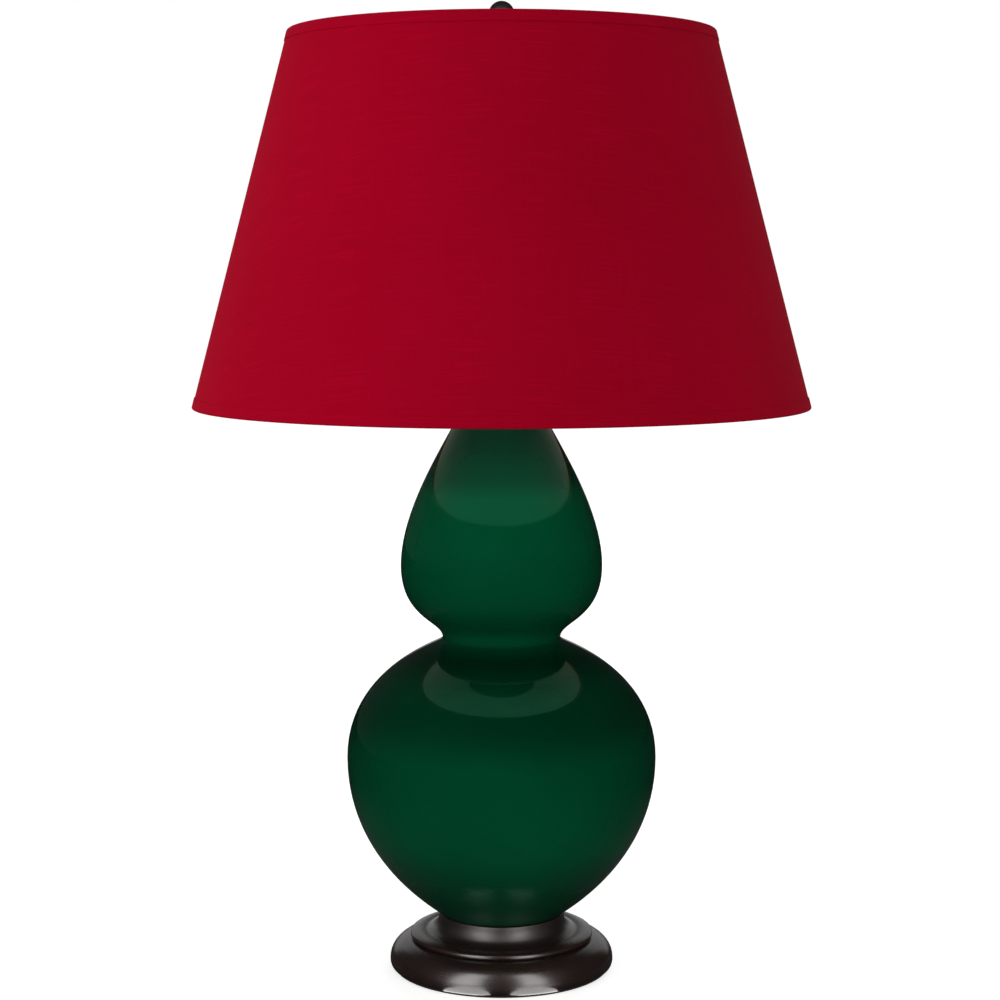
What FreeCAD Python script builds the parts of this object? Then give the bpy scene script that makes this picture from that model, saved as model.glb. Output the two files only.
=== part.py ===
"""Table lamp with a glazed double gourd body, a stepped metal foot and a fabric shade.

Millimetres, +Z up. The origin is the centre of the felt under the foot, where the lamp
stands. The front of the lamp faces -Y, and its cord leaves at the back, along +Y.
"""
import FreeCAD, Part
import math
import os
from types import SimpleNamespace

import Sketcher

Vector = FreeCAD.Vector

# Driving dimensions: name, size in mm (or count, or degrees) and what it is.
DRIVING = [
    # felt and foot
    ("felt_thickness", 2.0, "felt glued under the foot"),
    ("felt_inset", 1.0, "felt edge inside the foot's bottom edge"),
    ("foot_radius", 89.5, "foot at the widest part of its drum"),
    ("foot_edge_inset", 2.5, "bottom edge inside the widest radius"),
    ("drum_height", 7.0, "level of the foot's widest radius"),
    ("groove_radius", 71.0, "groove between shoulder and bead"),
    ("groove_height", 24.6, "level of the groove"),
    ("bead_radius", 73.0, "bead above the groove"),
    ("bead_height", 27.4, "level of the bead's widest radius"),
    ("ledge_radius", 61.0, "inner end of the ledge on the bead"),
    ("ledge_height", 30.5, "level of the ledge"),
    ("neck_radius", 50.0, "neck and lip of the foot"),
    ("lip_height", 44.8, "top of the lip"),
    ("foot_wall", 3.0, "wall of the foot"),
    ("edge_round", 1.5, "rounding of the foot's bottom edge"),
    ("shoulder_rise", 11.5, "how far the shoulder stays upright above the drum"),
    ("groove_fillet", 1.2, "rounding of the groove under the bead"),
    ("bead_fullness", 1.4, "roundness of the bead below its widest"),
    ("ledge_fullness", 2.6, "roundness of the bead up to the ledge"),
    ("neck_rise", 4.5, "where the ledge has turned up into the neck"),
    ("neck_sweep", 2.5, "neck beyond its own radius at that level"),
    ("lip_round", 0.8, "rounding of the lip"),
    ("cup_depth", 3.8, "lip above the plate that the body stands on"),
    ("cup_clearance", 0.4, "round the body's foot ring"),
    # cord outlet
    ("outlet_height", 10.2, "axis of the cord bushing above the table"),
    ("outlet_bore", 3.3, "radius of the hole for the cord"),
    ("outlet_barrel", 4.3, "radius of the bushing in the foot's wall"),
    ("outlet_fit", 0.1, "bushing in the hole in the wall"),
    ("outlet_flange", 5.8, "radius of the bushing's flange"),
    ("outlet_flange_thickness", 2.0, "flange outside the wall"),
    ("outlet_length", 12.0, "bushing from end to end"),
    ("outlet_round", 1.0, "rounding of the flange"),
    # body of the lamp
    ("gasket_thickness", 1.0, "cork ring under the body"),
    ("gasket_bore", 30.0, "radius of the hole in the cork ring"),
    ("gasket_inset", 1.0, "cork ring inside the foot ring's edge"),
    ("body_ring_radius", 47.2, "unglazed foot ring of the body"),
    ("body_base_radius", 48.6, "glazed body where it meets the lip"),
    ("body_base_rise", 3.0, "foot ring's height"),
    ("base_flare", 21.4, "how fast the body widens above its foot ring"),
    ("base_climb", 15.0, "how steeply it rises there"),
    ("belly_radius", 123.0, "lower lobe"),
    ("belly_height", 129.6, "level of the lower lobe above the ring's face"),
    ("belly_fullness_below", 72.6, "roundness of the lower lobe below its widest"),
    ("belly_fullness_above", 70.8, "roundness of the lower lobe above its widest"),
    ("waist_radius", 46.7, "waist between the lobes"),
    ("waist_height", 224.8, "level of the waist above the ring's face"),
    ("waist_below", 2.9, "tightness of the waist below its narrowest"),
    ("waist_above", 15.3, "tightness of the waist above its narrowest"),
    ("waist_land", 5.0, "half of the straight inside the waist"),
    ("crown_radius", 79.8, "upper lobe"),
    ("crown_height", 283.1, "level of the upper lobe above the ring's face"),
    ("crown_fullness_below", 42.8, "roundness of the upper lobe below its widest"),
    ("crown_fullness_above", 56.4, "roundness of the upper lobe above its widest"),
    ("mouth_radius", 23.0, "neck of the body at its mouth"),
    ("mouth_straight", 18.5, "how slowly the neck narrows below the mouth"),
    ("body_height", 428.0, "body from ring to mouth"),
    ("body_wall", 6.0, "fired clay and glaze"),
    ("body_hole_radius", 14.0, "hole in the bottom of the body"),
    # rod through the body
    ("rod_radius", 4.95, "threaded rod"),
    ("rod_bore", 3.5, "radius of the wire way in the rod"),
    ("rod_clearance", 0.3, "holes that the rod passes through"),
    ("thread_fit", 0.05, "nut and socket cap on the rod's thread"),
    ("rod_below_plate", 14.0, "rod below the foot's plate"),
    ("rod_into_socket", 6.0, "rod inside the socket cap"),
    ("nut_thickness", 4.5, "hexagon nut under the foot's plate"),
    ("nut_radius", 8.4, "hexagon nut across its corners, as a radius"),
    ("washer_thickness", 1.5, "wide washer above the nut"),
    ("washer_radius", 19.0, "wide washer"),
    ("lock_washer_thickness", 1.2, "toothed washer above the nut"),
    ("lock_washer_radius", 8.5, "toothed washer"),
    # cap and neck above the body
    ("cap_overhang", 3.0, "cap beyond the mouth's radius"),
    ("cap_skirt", 3.0, "cap's skirt below the mouth"),
    ("cap_height", 9.0, "cap above the mouth"),
    ("cap_clearance", 1.0, "skirt round the mouth"),
    ("cap_collar", 3.0, "cap's flat top beyond the spacer"),
    ("cap_step", 2.0, "step up to the spacer"),
    ("spacer_wall", 2.25, "turned spacer round the rod's hole"),
    ("spacer_height", 12.0, "turned spacer"),
    ("spacer_waist", 2.0, "how far its outline is drawn in"),
    # harp and its saddle
    ("saddle_edge", 0.75, "strip of the saddle beside the rod's hole"),
    ("saddle_thickness", 1.5, "strip of the saddle"),
    ("saddle_flat", 24.0, "half of the saddle's flat"),
    ("saddle_reach", 37.0, "inner face of the saddle's tabs"),
    ("saddle_rise", 12.0, "tabs above the flat"),
    ("tab_length", 12.0, "upright tabs"),
    ("tab_width", 4.0, "upright tabs"),
    ("tab_root", 0.5, "how deep each tab starts in the strip"),
    ("harp_wire", 1.6, "radius of the harp's wire"),
    ("harp_gap", 0.3, "wire beside the tab, and its end above the strip"),
    ("harp_leg", 30.0, "straight part of each leg"),
    ("harp_flare_radius", 40.0, "bend that takes each leg outwards"),
    ("harp_flare_angle", 25.0, "how far that bend turns, in degrees"),
    ("harp_lean_angle", 30.0, "lean of the sides where the top bend starts, in degrees"),
    ("harp_top_straight", 7.0, "half of the straight top"),
    ("harp_height", 236.9, "saddle's underside to the face that carries the shade"),
    ("sleeve_bore", 3.6, "radius of the hole in each locking sleeve"),
    ("sleeve_wall", 0.9, "locking sleeve"),
    ("sleeve_length", 12.0, "locking sleeve"),
    ("block_half_length", 6.5, "clamp block on the harp's top, along the wire"),
    ("block_half_width", 5.0, "clamp block across the wire"),
    ("block_fit", 0.05, "wire in the clamp block"),
    ("block_cover", 1.8, "block above and below the wire"),
    ("stud_radius", 3.175, "stud that carries the shade and finial"),
    ("stud_length", 13.0, "stud above the block"),
    ("stud_chamfer", 0.8, "end of the stud"),
    # socket
    ("socket_neck_radius", 7.8, "neck of the socket cap"),
    ("socket_neck_height", 5.0, "neck of the socket cap"),
    ("socket_radius", 17.5, "brass shell of the socket"),
    ("socket_sheet", 0.6, "sheet of cap, shell and screw shell"),
    ("socket_cap_height", 23.0, "socket cap"),
    ("socket_cap_overlap", 6.0, "cap's rim outside the shell"),
    ("socket_height", 72.0, "socket from the saddle to its mouth"),
    ("socket_fit", 0.05, "cap's rim round the shell"),
    ("socket_floor", 1.2, "floor of the cap above its neck"),
    ("socket_dome", 4.0, "roundness of the cap"),
    ("shell_step", 1.0, "how far the shell is rolled in at its mouth"),
    ("shell_step_depth", 12.5, "middle of that step below the mouth"),
    ("shell_step_half", 1.5, "half of the step's height"),
    ("shell_lip", 0.6, "rounding of the shell's mouth"),
    ("liner_short", 15.0, "paper liner below the shell's mouth"),
    ("liner_sheet", 0.6, "paper liner"),
    ("liner_gap", 0.1, "paper liner inside the shell"),
    ("block_radius", 15.6, "moulded block inside the socket"),
    ("block_height", 27.0, "moulded block"),
    ("terminal_flat", 11.0, "flats for the terminal screws, from the axis"),
    ("terminal_land", 8.0, "full round of the block above the flats"),
    ("terminal_rise", 9.5, "terminal screws above the block's underside"),
    ("terminal_round", 0.6, "rounding of the screws' heads"),
    ("terminal_head", 3.2, "radius of the terminal screws' heads"),
    ("terminal_head_height", 2.2, "terminal screws' heads"),
    ("screw_shell_bore", 13.5, "radius inside the threaded shell for the bulb"),
    ("screw_shell_hole", 9.5, "radius of the hole in the threaded shell's floor"),
    ("screw_shell_short", 2.0, "threaded shell below the socket's mouth"),
    ("contact_rise", 4.0, "spring contact above the moulded block"),
    ("contact_width", 5.0, "spring contact's strip"),
    ("contact_strip", 0.6, "thickness of the contact's strip"),
    ("contact_back", 6.0, "bend of the contact, behind the axis"),
    ("contact_tip", 3.0, "free end of the contact, beyond the axis"),
    # switch
    ("key_height", 31.0, "switch shaft above the saddle"),
    ("key_shaft", 2.5, "radius of the switch shaft"),
    ("key_fit", 0.06, "shaft in its bearing"),
    ("key_start", 1.0, "inner end of the shaft from the lamp's axis"),
    ("key_reach", 30.0, "end of the shaft from the lamp's axis"),
    ("key_knob_radius", 6.0, "knob"),
    ("key_knob_length", 13.0, "knob"),
    ("key_knob_end", 2.0, "knob beyond the end of the shaft"),
    ("key_knob_round", 1.5, "bevel at the knob's ends"),
    ("key_groove", 1.1, "radius of the grooves down the knob"),
    ("key_groove_out", 0.4, "grooves' centres beyond the knob"),
    ("key_groove_count", 8.0, "grooves"),
    ("key_hole", 4.0, "hole in shell and liner for the shaft"),
    # bulb
    ("bulb_radius", 30.0, "glass bulb"),
    ("bulb_length", 108.0, "bulb from its contact to its top"),
    ("bulb_neck_radius", 14.5, "glass above the base"),
    ("bulb_glass", 0.9, "glass"),
    ("bulb_base_radius", 13.1, "threaded base"),
    ("bulb_base_length", 22.0, "threaded base"),
    ("bulb_gap", 0.4, "bulb's contact above the spring contact"),
    ("tip_radius", 4.5, "contact under the bulb"),
    ("tip_height", 1.5, "contact under the bulb"),
    ("insulator_radius", 9.5, "insulator where it meets the base"),
    ("insulator_height", 3.5, "insulator"),
    ("thread_depth", 0.7, "rolled thread of the base"),
    ("thread_pitch", 3.6, "rolled thread of the base"),
    ("base_wall", 0.5, "sheet of the base"),
    ("base_rim", 3.0, "plain rim of the base round the glass"),
    ("glass_seat", 0.6, "glass inside the base's rim"),
    ("glass_gap", 0.2, "glass above the base's rim"),
    ("glass_ease", 24.0, "roundness of the bulb below its widest"),
    # shade
    ("shade_bottom_radius", 241.3, "fabric at the bottom edge"),
    ("shade_top_radius", 165.1, "fabric at the top edge"),
    ("shade_height", 289.0, "shade from edge to edge, upright"),
    ("shade_drop", 12.0, "top edge above the hub's underside"),
    ("fabric_thickness", 0.8, "woven cover"),
    ("backing_thickness", 1.2, "stiff backing sheet"),
    ("ring_wire", 1.6, "radius of the ring wires"),
    ("ring_gap", 0.15, "ring wire inside the backing"),
    ("trim_height", 8.0, "folded trim outside the shade"),
    ("trim_inside", 6.5, "folded trim inside the shade"),
    ("trim_thickness", 0.6, "folded trim"),
    ("notch_gap", 0.4, "notches in the upper trim round the arms"),
    ("arm_count", 3.0, "arms of the spider"),
    ("arm_wire", 1.5, "radius of the arms"),
    ("arm_flat", 22.0, "where each arm starts to rise"),
    ("arm_root", 8.0, "where each arm starts inside the hub"),
    ("hub_radius", 12.0, "spider's hub"),
    ("hub_thickness", 1.6, "spider's hub"),
    ("hub_fit", 0.075, "hub and finial round the stud"),
    ("hub_gap", 0.3, "hub between the block and the finial"),
    # finial
    ("finial_ball", 10.0, "radius of the ball"),
    ("finial_base", 7.2, "radius of the foot"),
    ("finial_stem", 4.6, "radius of the stem"),
    ("finial_height", 34.0, "finial"),
    ("finial_bore_depth", 14.0, "hole for the stud"),
    ("finial_base_height", 2.4, "rounded foot"),
    ("finial_waist", 8.0, "level of the narrowest stem"),
    ("finial_collar", 7.2, "radius of the collar under the ball"),
    ("finial_collar_low", 11.4, "underside of the collar"),
    ("finial_collar_high", 13.6, "top of the collar"),
    ("finial_collar_round", 1.0, "rounding of foot and collar"),
]


class Size:
    """A number worked out from the sheet, with the formula that gives it."""

    def __init__(self, number, formula):
        self.number = number
        self.formula = formula

    def joined(self, sign, other, number):
        return Size(number, "(%s %s %s)" % (self.formula, sign, sized(other).formula))

    def __add__(self, other):
        return self.joined("+", other, self.number + sized(other).number)

    def __sub__(self, other):
        return self.joined("-", other, self.number - sized(other).number)

    def __mul__(self, other):
        return self.joined("*", other, self.number * sized(other).number)

    def __truediv__(self, other):
        return self.joined("/", other, self.number / sized(other).number)

    def __radd__(self, other):
        return sized(other) + self

    def __rsub__(self, other):
        return sized(other) - self

    def __rmul__(self, other):
        return sized(other) * self

    def __neg__(self):
        return sized(0.0) - self


def sized(number):
    """The number as a Size, whether it is one already or plain."""
    if isinstance(number, Size):
        return number
    return Size(float(number), "%.6f" % number)


document = FreeCAD.newDocument("double_gourd_lamp")
sheet = document.addObject("Spreadsheet::Sheet", "Sizes")
size = SimpleNamespace()
for row, (alias, number, meaning) in enumerate(DRIVING, start=1):
    sheet.set("A%d" % row, meaning)
    sheet.set("B%d" % row, str(number))
    sheet.setAlias("B%d" % row, alias)
    setattr(size, alias, Size(number, "Sizes." + alias))
document.recompute()

pieces = []


# ---------------------------------------------------------------- drawing and making


def line(x, y):
    """A straight stretch of an outline, to this point."""
    return ("line", sized(x), sized(y))


def curve(first, second, end):
    """A round stretch, from the last point towards the first handle and so on."""
    return ("curve", [(sized(x), sized(y)) for x, y in (first, second, end)])


def arc(x, y, radius, side):
    """A round stretch of this radius, turning to its left (1) or right (-1)."""
    return ("arc", sized(x), sized(y), sized(radius), side)


def bind(sketch, constraint, wanted):
    """Adds the constraint and ties it to the size's formula."""
    number = sketch.addConstraint(constraint)
    if "Sizes." in wanted.formula:
        sketch.setExpression("Constraints[%d]" % number, wanted.formula)


def pin_point(sketch, geometry, which, x, y):
    """Holds a point of the sketch at x, y from the origin."""
    bind(sketch, Sketcher.Constraint("DistanceX", -1, 1, geometry, which, x.number), x)
    bind(sketch, Sketcher.Constraint("DistanceY", -1, 1, geometry, which, y.number), y)


def arc_centre(start, end, radius, side):
    """Centre of the arc under a half circle that turns to the given side."""
    middle = (start + end) * 0.5
    half = (end - start) * 0.5
    height = math.sqrt(radius * radius - half.Length * half.Length)
    across = Vector(-half.y, half.x, 0).normalize()
    return middle + across * height * side


def add_stretch(sketch, start, step):
    """Draws one stretch and returns its number, its two ends and where it stops."""
    if step[0] == "curve":
        poles = [start] + [Vector(x.number, y.number, 0) for x, y in step[1]]
        spline = Part.BSplineCurve()
        spline.buildFromPolesMultsKnots(poles, [4, 4], [0, 1], False, 3)
        geometry = sketch.addGeometry(spline)
        sketch.exposeInternalGeometry(geometry)
        for pole, (x, y) in enumerate(step[1], start=2):
            pin_point(sketch, geometry + pole, 3, x, y)
        return geometry, 1, 2, poles[-1]
    end = Vector(step[1].number, step[2].number, 0)
    if step[0] == "line":
        geometry = sketch.addGeometry(Part.LineSegment(start, end))
        pin_point(sketch, geometry, 2, step[1], step[2])
        return geometry, 1, 2, end
    radius, side = step[3], step[4]
    centre = arc_centre(start, end, radius.number, side)
    first, last = (start, end) if side > 0 else (end, start)
    angles = [math.atan2(p.y - centre.y, p.x - centre.x) for p in (first, last)]
    if angles[1] < angles[0]:
        angles[1] += 2 * math.pi
    circle = Part.Circle(centre, Vector(0, 0, 1), radius.number)
    geometry = sketch.addGeometry(Part.ArcOfCircle(circle, angles[0], angles[1]))
    bind(sketch, Sketcher.Constraint("Radius", geometry, radius.number), radius)
    ends = (1, 2) if side > 0 else (2, 1)
    pin_point(sketch, geometry, ends[1], step[1], step[2])
    return geometry, ends[0], ends[1], end


def join_ends(sketch, before, after):
    """Holds the end of one stretch on the start of the next."""
    sketch.addConstraint(Sketcher.Constraint("Coincident", before[0], before[2], after[0], after[1]))


def new_sketch(body, plane, name):
    """A sketch on one of the body's own origin planes."""
    sketch = body.newObject("Sketcher::SketchObject", name)
    planes = [item for item in body.Origin.OriginFeatures if item.Role == plane]
    sketch.AttachmentSupport = (planes[0], [""])
    sketch.MapMode = "FlatFace"
    return sketch


def draw(body, plane, name, start, steps, closed=True):
    """Draws an outline from its start through its steps, and back if it is closed."""
    sketch = new_sketch(body, plane, name)
    start = (sized(start[0]), sized(start[1]))
    if closed:
        steps = steps + [line(*start)]
    here = Vector(start[0].number, start[1].number, 0)
    stretches = []
    for step in steps:
        geometry, first, last, here = add_stretch(sketch, here, step)
        stretches.append((geometry, first, last))
    for before, after in zip(stretches, stretches[1:]):
        join_ends(sketch, before, after)
    if closed:
        join_ends(sketch, stretches[-1], stretches[0])
    else:
        pin_point(sketch, stretches[0][0], stretches[0][1], *start)
    return sketch


def draw_circle(body, plane, name, x, y, radius):
    """Draws a circle."""
    x, y, radius = sized(x), sized(y), sized(radius)
    sketch = new_sketch(body, plane, name)
    centre = Vector(x.number, y.number, 0)
    geometry = sketch.addGeometry(Part.Circle(centre, Vector(0, 0, 1), radius.number))
    bind(sketch, Sketcher.Constraint("Radius", geometry, radius.number), radius)
    pin_point(sketch, geometry, 3, x, y)
    return sketch


def new_body(label):
    """An empty body that becomes one piece of the lamp."""
    body = document.addObject("PartDesign::Body", label)
    body.Label = label
    pieces.append(body)
    return body


def place(piece, x=0.0, y=0.0, z=0.0):
    """Puts a piece at its place, tied to the sizes that the place comes from."""
    where = [sized(distance) for distance in (x, y, z)]
    base = Vector(*[distance.number for distance in where])
    piece.Placement = FreeCAD.Placement(base, piece.Placement.Rotation)
    for axis, distance in zip("xyz", where):
        if "Sizes." in distance.formula:
            piece.setExpression("Placement.Base." + axis, distance.formula)


def revolve(body, sketch):
    """Turns the outline round the lamp's axis."""
    turning = body.newObject("PartDesign::Revolution", sketch.Name + "_turned")
    turning.Profile = sketch
    turning.ReferenceAxis = (sketch, ["V_Axis"])
    turning.Angle = 360
    return turning


def turned(label, start, steps, z=0.0):
    """A piece turned from one outline: x is the radius and y the height above z."""
    body = new_body(label)
    revolve(body, draw(body, "XZ_Plane", label + "_outline", start, steps))
    place(body, z=z)
    return body


def tube(label, bore, radius, length, z=0.0):
    """A ring, washer or sleeve."""
    return turned(label, (bore, 0), [line(radius, 0), line(radius, length), line(bore, length)], z)


def extrude(body, sketch, width):
    """Thickens an outline by the same amount on both sides of its plane."""
    pad = body.newObject("PartDesign::Pad", sketch.Name + "_pad")
    pad.Profile = sketch
    pad.Midplane = True
    pad.setExpression("Length", sized(width).formula)
    return pad


def cut_through(body, sketch, front=False, both_ways=False):
    """Cuts an outline through all that lies behind its plane, or in front, or both."""
    document.recompute()
    pocket = body.newObject("PartDesign::Pocket", sketch.Name + "_cut")
    pocket.Profile = sketch
    pocket.Type = 1
    pocket.Reversed = front
    pocket.Midplane = both_ways
    return pocket


def solid(kind, name, **sizes):
    """A plain solid with its sizes tied to the sheet."""
    item = document.addObject("Part::" + kind, name)
    for key, wanted in sizes.items():
        item.setExpression(key, sized(wanted).formula)
    return item


def boolean(kind, label, base, tool):
    """One solid cut from another, or joined to it, as a piece or a step of one."""
    item = document.addObject("Part::" + kind, label)
    item.Base = base
    item.Tool = tool
    return item


def keep(item, label):
    """Makes a finished solid one of the lamp's pieces."""
    item.Label = label
    pieces.append(item)
    return item


# ---------------------------------------------------------------- levels up the lamp

plate_top = size.lip_height - size.cup_depth
plate_under = plate_top - size.foot_wall
body_seat = plate_top + size.gasket_thickness
mouth_level = body_seat + size.body_height
spacer_level = mouth_level + size.cap_height
saddle_level = spacer_level + size.spacer_height
socket_level = saddle_level + size.saddle_thickness
hanging_level = saddle_level + size.harp_height
hub_level = hanging_level + size.hub_gap
shade_top_level = hub_level + size.shade_drop
shade_level = shade_top_level - size.shade_height
rod_hole = size.rod_radius + size.rod_clearance
rod_thread = size.rod_radius + size.thread_fit
spacer_radius = rod_hole + size.spacer_wall
saddle_width = 2 * (rod_hole + size.saddle_edge)

# ---------------------------------------------------------------- felt and foot

foot_edge = size.foot_radius - size.foot_edge_inset
tube("felt_pad", 0.0, foot_edge - size.felt_inset, size.felt_thickness)

# The foot is one spun shell: a drum with a round shoulder, a groove, a bead under a
# ledge, and a neck whose lip holds the body's ring in a shallow cup.
foot = new_body("foot")
wall = size.foot_wall
cup_radius = size.body_ring_radius + size.cup_clearance
drum_inside = size.foot_radius - wall
neck_low = size.ledge_height + size.neck_rise
neck_start = size.neck_radius + size.neck_sweep
shoulder = size.foot_radius - size.groove_radius
foot_outline = draw(foot, "XZ_Plane", "foot_outline", (foot_edge - wall, size.felt_thickness), [
    line(foot_edge, size.felt_thickness),
    curve((foot_edge + size.edge_round, size.felt_thickness),
          (size.foot_radius, size.drum_height - 2 * size.edge_round), (size.foot_radius, size.drum_height)),
    curve((size.foot_radius, size.drum_height + size.shoulder_rise),
          (size.groove_radius + shoulder * 0.43, size.groove_height),
          (size.groove_radius, size.groove_height)),
    curve((size.groove_radius + size.groove_fillet, size.groove_height + size.groove_fillet / 3),
          (size.bead_radius, size.bead_height - size.bead_fullness), (size.bead_radius, size.bead_height)),
    curve((size.bead_radius, size.bead_height + size.ledge_fullness),
          (size.bead_radius * 0.5 + size.ledge_radius * 0.5, size.ledge_height),
          (size.ledge_radius, size.ledge_height)),
    curve((size.ledge_radius * 0.6 + neck_start * 0.4, size.ledge_height),
          (neck_start + size.neck_rise * 0.45, neck_low - size.neck_rise * 0.65), (neck_start, neck_low)),
    curve((neck_start - size.neck_rise * 0.45, neck_low + size.neck_rise * 0.65),
          (size.neck_radius, size.lip_height - size.neck_rise),
          (size.neck_radius, size.lip_height - size.lip_round)),
    curve((size.neck_radius, size.lip_height - size.lip_round * 0.4),
          (size.neck_radius - size.lip_round * 0.4, size.lip_height),
          (size.neck_radius - size.lip_round, size.lip_height)),
    line(cup_radius, size.lip_height),
    line(cup_radius, plate_top),
    line(rod_hole, plate_top),
    line(rod_hole, plate_under),
    line(size.neck_radius - wall, plate_under),
    line(neck_start - wall, neck_low - wall),
    line(size.ledge_radius - wall * 0.7, size.ledge_height - wall),
    line(size.groove_radius - wall, size.bead_height - wall * 0.2),
    line(size.groove_radius - wall * 0.7, size.groove_height - wall),
    curve((size.groove_radius + shoulder * 0.38, size.groove_height - wall),
          (drum_inside, size.drum_height + size.shoulder_rise * 0.87), (drum_inside, size.drum_height)),
])
revolve(foot, foot_outline)
outlet_radius = size.outlet_barrel + size.outlet_fit
outlet_hole = draw_circle(foot, "XZ_Plane", "outlet_hole", 0, size.outlet_height, outlet_radius)
cut_through(foot, outlet_hole)

# The bushing's flange lies against the widest part of the drum, at the back.
bushing = turned("cord_bushing", (size.outlet_bore, 0), [
    line(size.outlet_barrel, 0),
    line(size.outlet_barrel, size.outlet_length - size.outlet_flange_thickness),
    line(size.outlet_flange, size.outlet_length - size.outlet_flange_thickness),
    line(size.outlet_flange, size.outlet_length - size.outlet_round),
    curve((size.outlet_flange, size.outlet_length - size.outlet_round * 0.4),
          (size.outlet_flange - size.outlet_round * 0.4, size.outlet_length),
          (size.outlet_flange - size.outlet_round, size.outlet_length)),
    line(size.outlet_bore, size.outlet_length),
])
bushing.Placement.Rotation = FreeCAD.Rotation(Vector(1, 0, 0), -90)
bushing_start = size.foot_radius + size.outlet_flange_thickness - size.outlet_length + size.outlet_fit
place(bushing, y=bushing_start, z=size.outlet_height)

# ---------------------------------------------------------------- gourd body

gasket_radius = size.body_ring_radius - size.gasket_inset
tube("cork_gasket", size.gasket_bore, gasket_radius, size.gasket_thickness, plate_top)

# Slip-cast clay, glazed outside: a wide lobe, a tight waist and a smaller lobe.
clay = size.body_wall
ease = clay * 0.67
waist_inside = size.waist_radius - clay
turned("gourd_body", (size.body_hole_radius, 0), [
    line(size.body_ring_radius, 0),
    line(size.body_ring_radius, size.body_base_rise),
    line(size.body_base_radius, size.body_base_rise),
    curve((size.body_base_radius + size.base_flare, size.body_base_rise + size.base_climb),
          (size.belly_radius, size.belly_height - size.belly_fullness_below),
          (size.belly_radius, size.belly_height)),
    curve((size.belly_radius, size.belly_height + size.belly_fullness_above),
          (size.waist_radius, size.waist_height - size.waist_below), (size.waist_radius, size.waist_height)),
    curve((size.waist_radius, size.waist_height + size.waist_above),
          (size.crown_radius, size.crown_height - size.crown_fullness_below),
          (size.crown_radius, size.crown_height)),
    curve((size.crown_radius, size.crown_height + size.crown_fullness_above),
          (size.mouth_radius, size.body_height - size.mouth_straight),
          (size.mouth_radius, size.body_height)),
    line(size.mouth_radius - clay, size.body_height),
    curve((size.mouth_radius - clay, size.body_height - size.mouth_straight),
          (size.crown_radius - clay, size.crown_height + size.crown_fullness_above - ease),
          (size.crown_radius - clay, size.crown_height)),
    curve((size.crown_radius - clay, size.crown_height - size.crown_fullness_below + ease),
          (waist_inside, size.waist_height + size.waist_above + ease),
          (waist_inside, size.waist_height + size.waist_land)),
    line(waist_inside, size.waist_height - size.waist_land),
    curve((waist_inside, size.waist_height - size.waist_land - ease),
          (size.belly_radius - clay, size.belly_height + size.belly_fullness_above - clay),
          (size.belly_radius - clay, size.belly_height)),
    curve((size.belly_radius - clay, size.belly_height - size.belly_fullness_below + ease),
          (size.body_base_radius + size.base_flare * 0.5, size.body_base_rise + size.base_climb),
          (size.body_base_radius - clay * 1.33, clay)),
    line(size.body_hole_radius, clay),
], body_seat)

# ---------------------------------------------------------------- rod, nut and washers

rod_length = socket_level - plate_under + size.rod_below_plate + size.rod_into_socket
tube("threaded_rod", size.rod_bore, size.rod_radius, rod_length, plate_under - size.rod_below_plate)
washer_level = plate_under - size.washer_thickness
tube("wide_washer", rod_hole, size.washer_radius, size.washer_thickness, washer_level)
lock_washer_level = washer_level - size.lock_washer_thickness
tube("toothed_washer", rod_hole, size.lock_washer_radius, size.lock_washer_thickness, lock_washer_level)
nut_hexagon = solid("Prism", "nut_hexagon", Circumradius=size.nut_radius, Height=size.nut_thickness)
nut_hexagon.Polygon = 6
nut_hole = solid("Cylinder", "nut_hole", Radius=rod_thread, Height=size.nut_thickness)
base_nut = keep(boolean("Cut", "base_nut", nut_hexagon, nut_hole), "base_nut")
place(base_nut, z=lock_washer_level - size.nut_thickness)

# ---------------------------------------------------------------- cap and spacer

# A spun cap covers the mouth and centres the rod in it.
cap_radius = size.mouth_radius + size.cap_overhang
skirt_inside = size.mouth_radius + size.cap_clearance
turned("mouth_cap", (rod_hole, 0), [
    line(skirt_inside, 0),
    line(skirt_inside, -size.cap_skirt),
    line(cap_radius, -size.cap_skirt),
    line(cap_radius, 0),
    curve((cap_radius, size.cap_height * 0.6),
          (spacer_radius + 2 * size.cap_collar, size.cap_height - size.cap_step),
          (spacer_radius + size.cap_collar, size.cap_height - size.cap_step)),
    line(spacer_radius + size.cap_collar / 3, size.cap_height),
    line(rod_hole, size.cap_height),
], mouth_level)
turned("neck_spacer", (rod_hole, 0), [
    line(spacer_radius, 0),
    curve((spacer_radius - size.spacer_waist, size.spacer_height * 0.3),
          (spacer_radius - size.spacer_waist, size.spacer_height * 0.7), (spacer_radius, size.spacer_height)),
    line(rod_hole, size.spacer_height),
], spacer_level)

# ---------------------------------------------------------------- saddle of the harp

# A bent strip under the socket. Its two narrow tabs stand up for the harp's legs.
saddle = new_body("harp_saddle")
strip = size.saddle_thickness
outer_reach = size.saddle_reach + strip
leg_x = outer_reach + size.harp_gap + size.harp_wire
shelf = leg_x + size.harp_wire
bend_shift = strip * 0.67
strip_outline = draw(saddle, "XZ_Plane", "strip_outline", (-size.saddle_flat, 0), [
    line(size.saddle_flat, 0),
    line(size.saddle_reach + bend_shift, size.saddle_rise - strip),
    line(shelf, size.saddle_rise - strip),
    line(shelf, size.saddle_rise),
    line(size.saddle_reach - bend_shift, size.saddle_rise),
    line(size.saddle_flat - bend_shift, strip),
    line(bend_shift - size.saddle_flat, strip),
    line(bend_shift - size.saddle_reach, size.saddle_rise),
    line(-shelf, size.saddle_rise),
    line(-shelf, size.saddle_rise - strip),
    line(-bend_shift - size.saddle_reach, size.saddle_rise - strip),
])
extrude(saddle, strip_outline, saddle_width)
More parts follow.
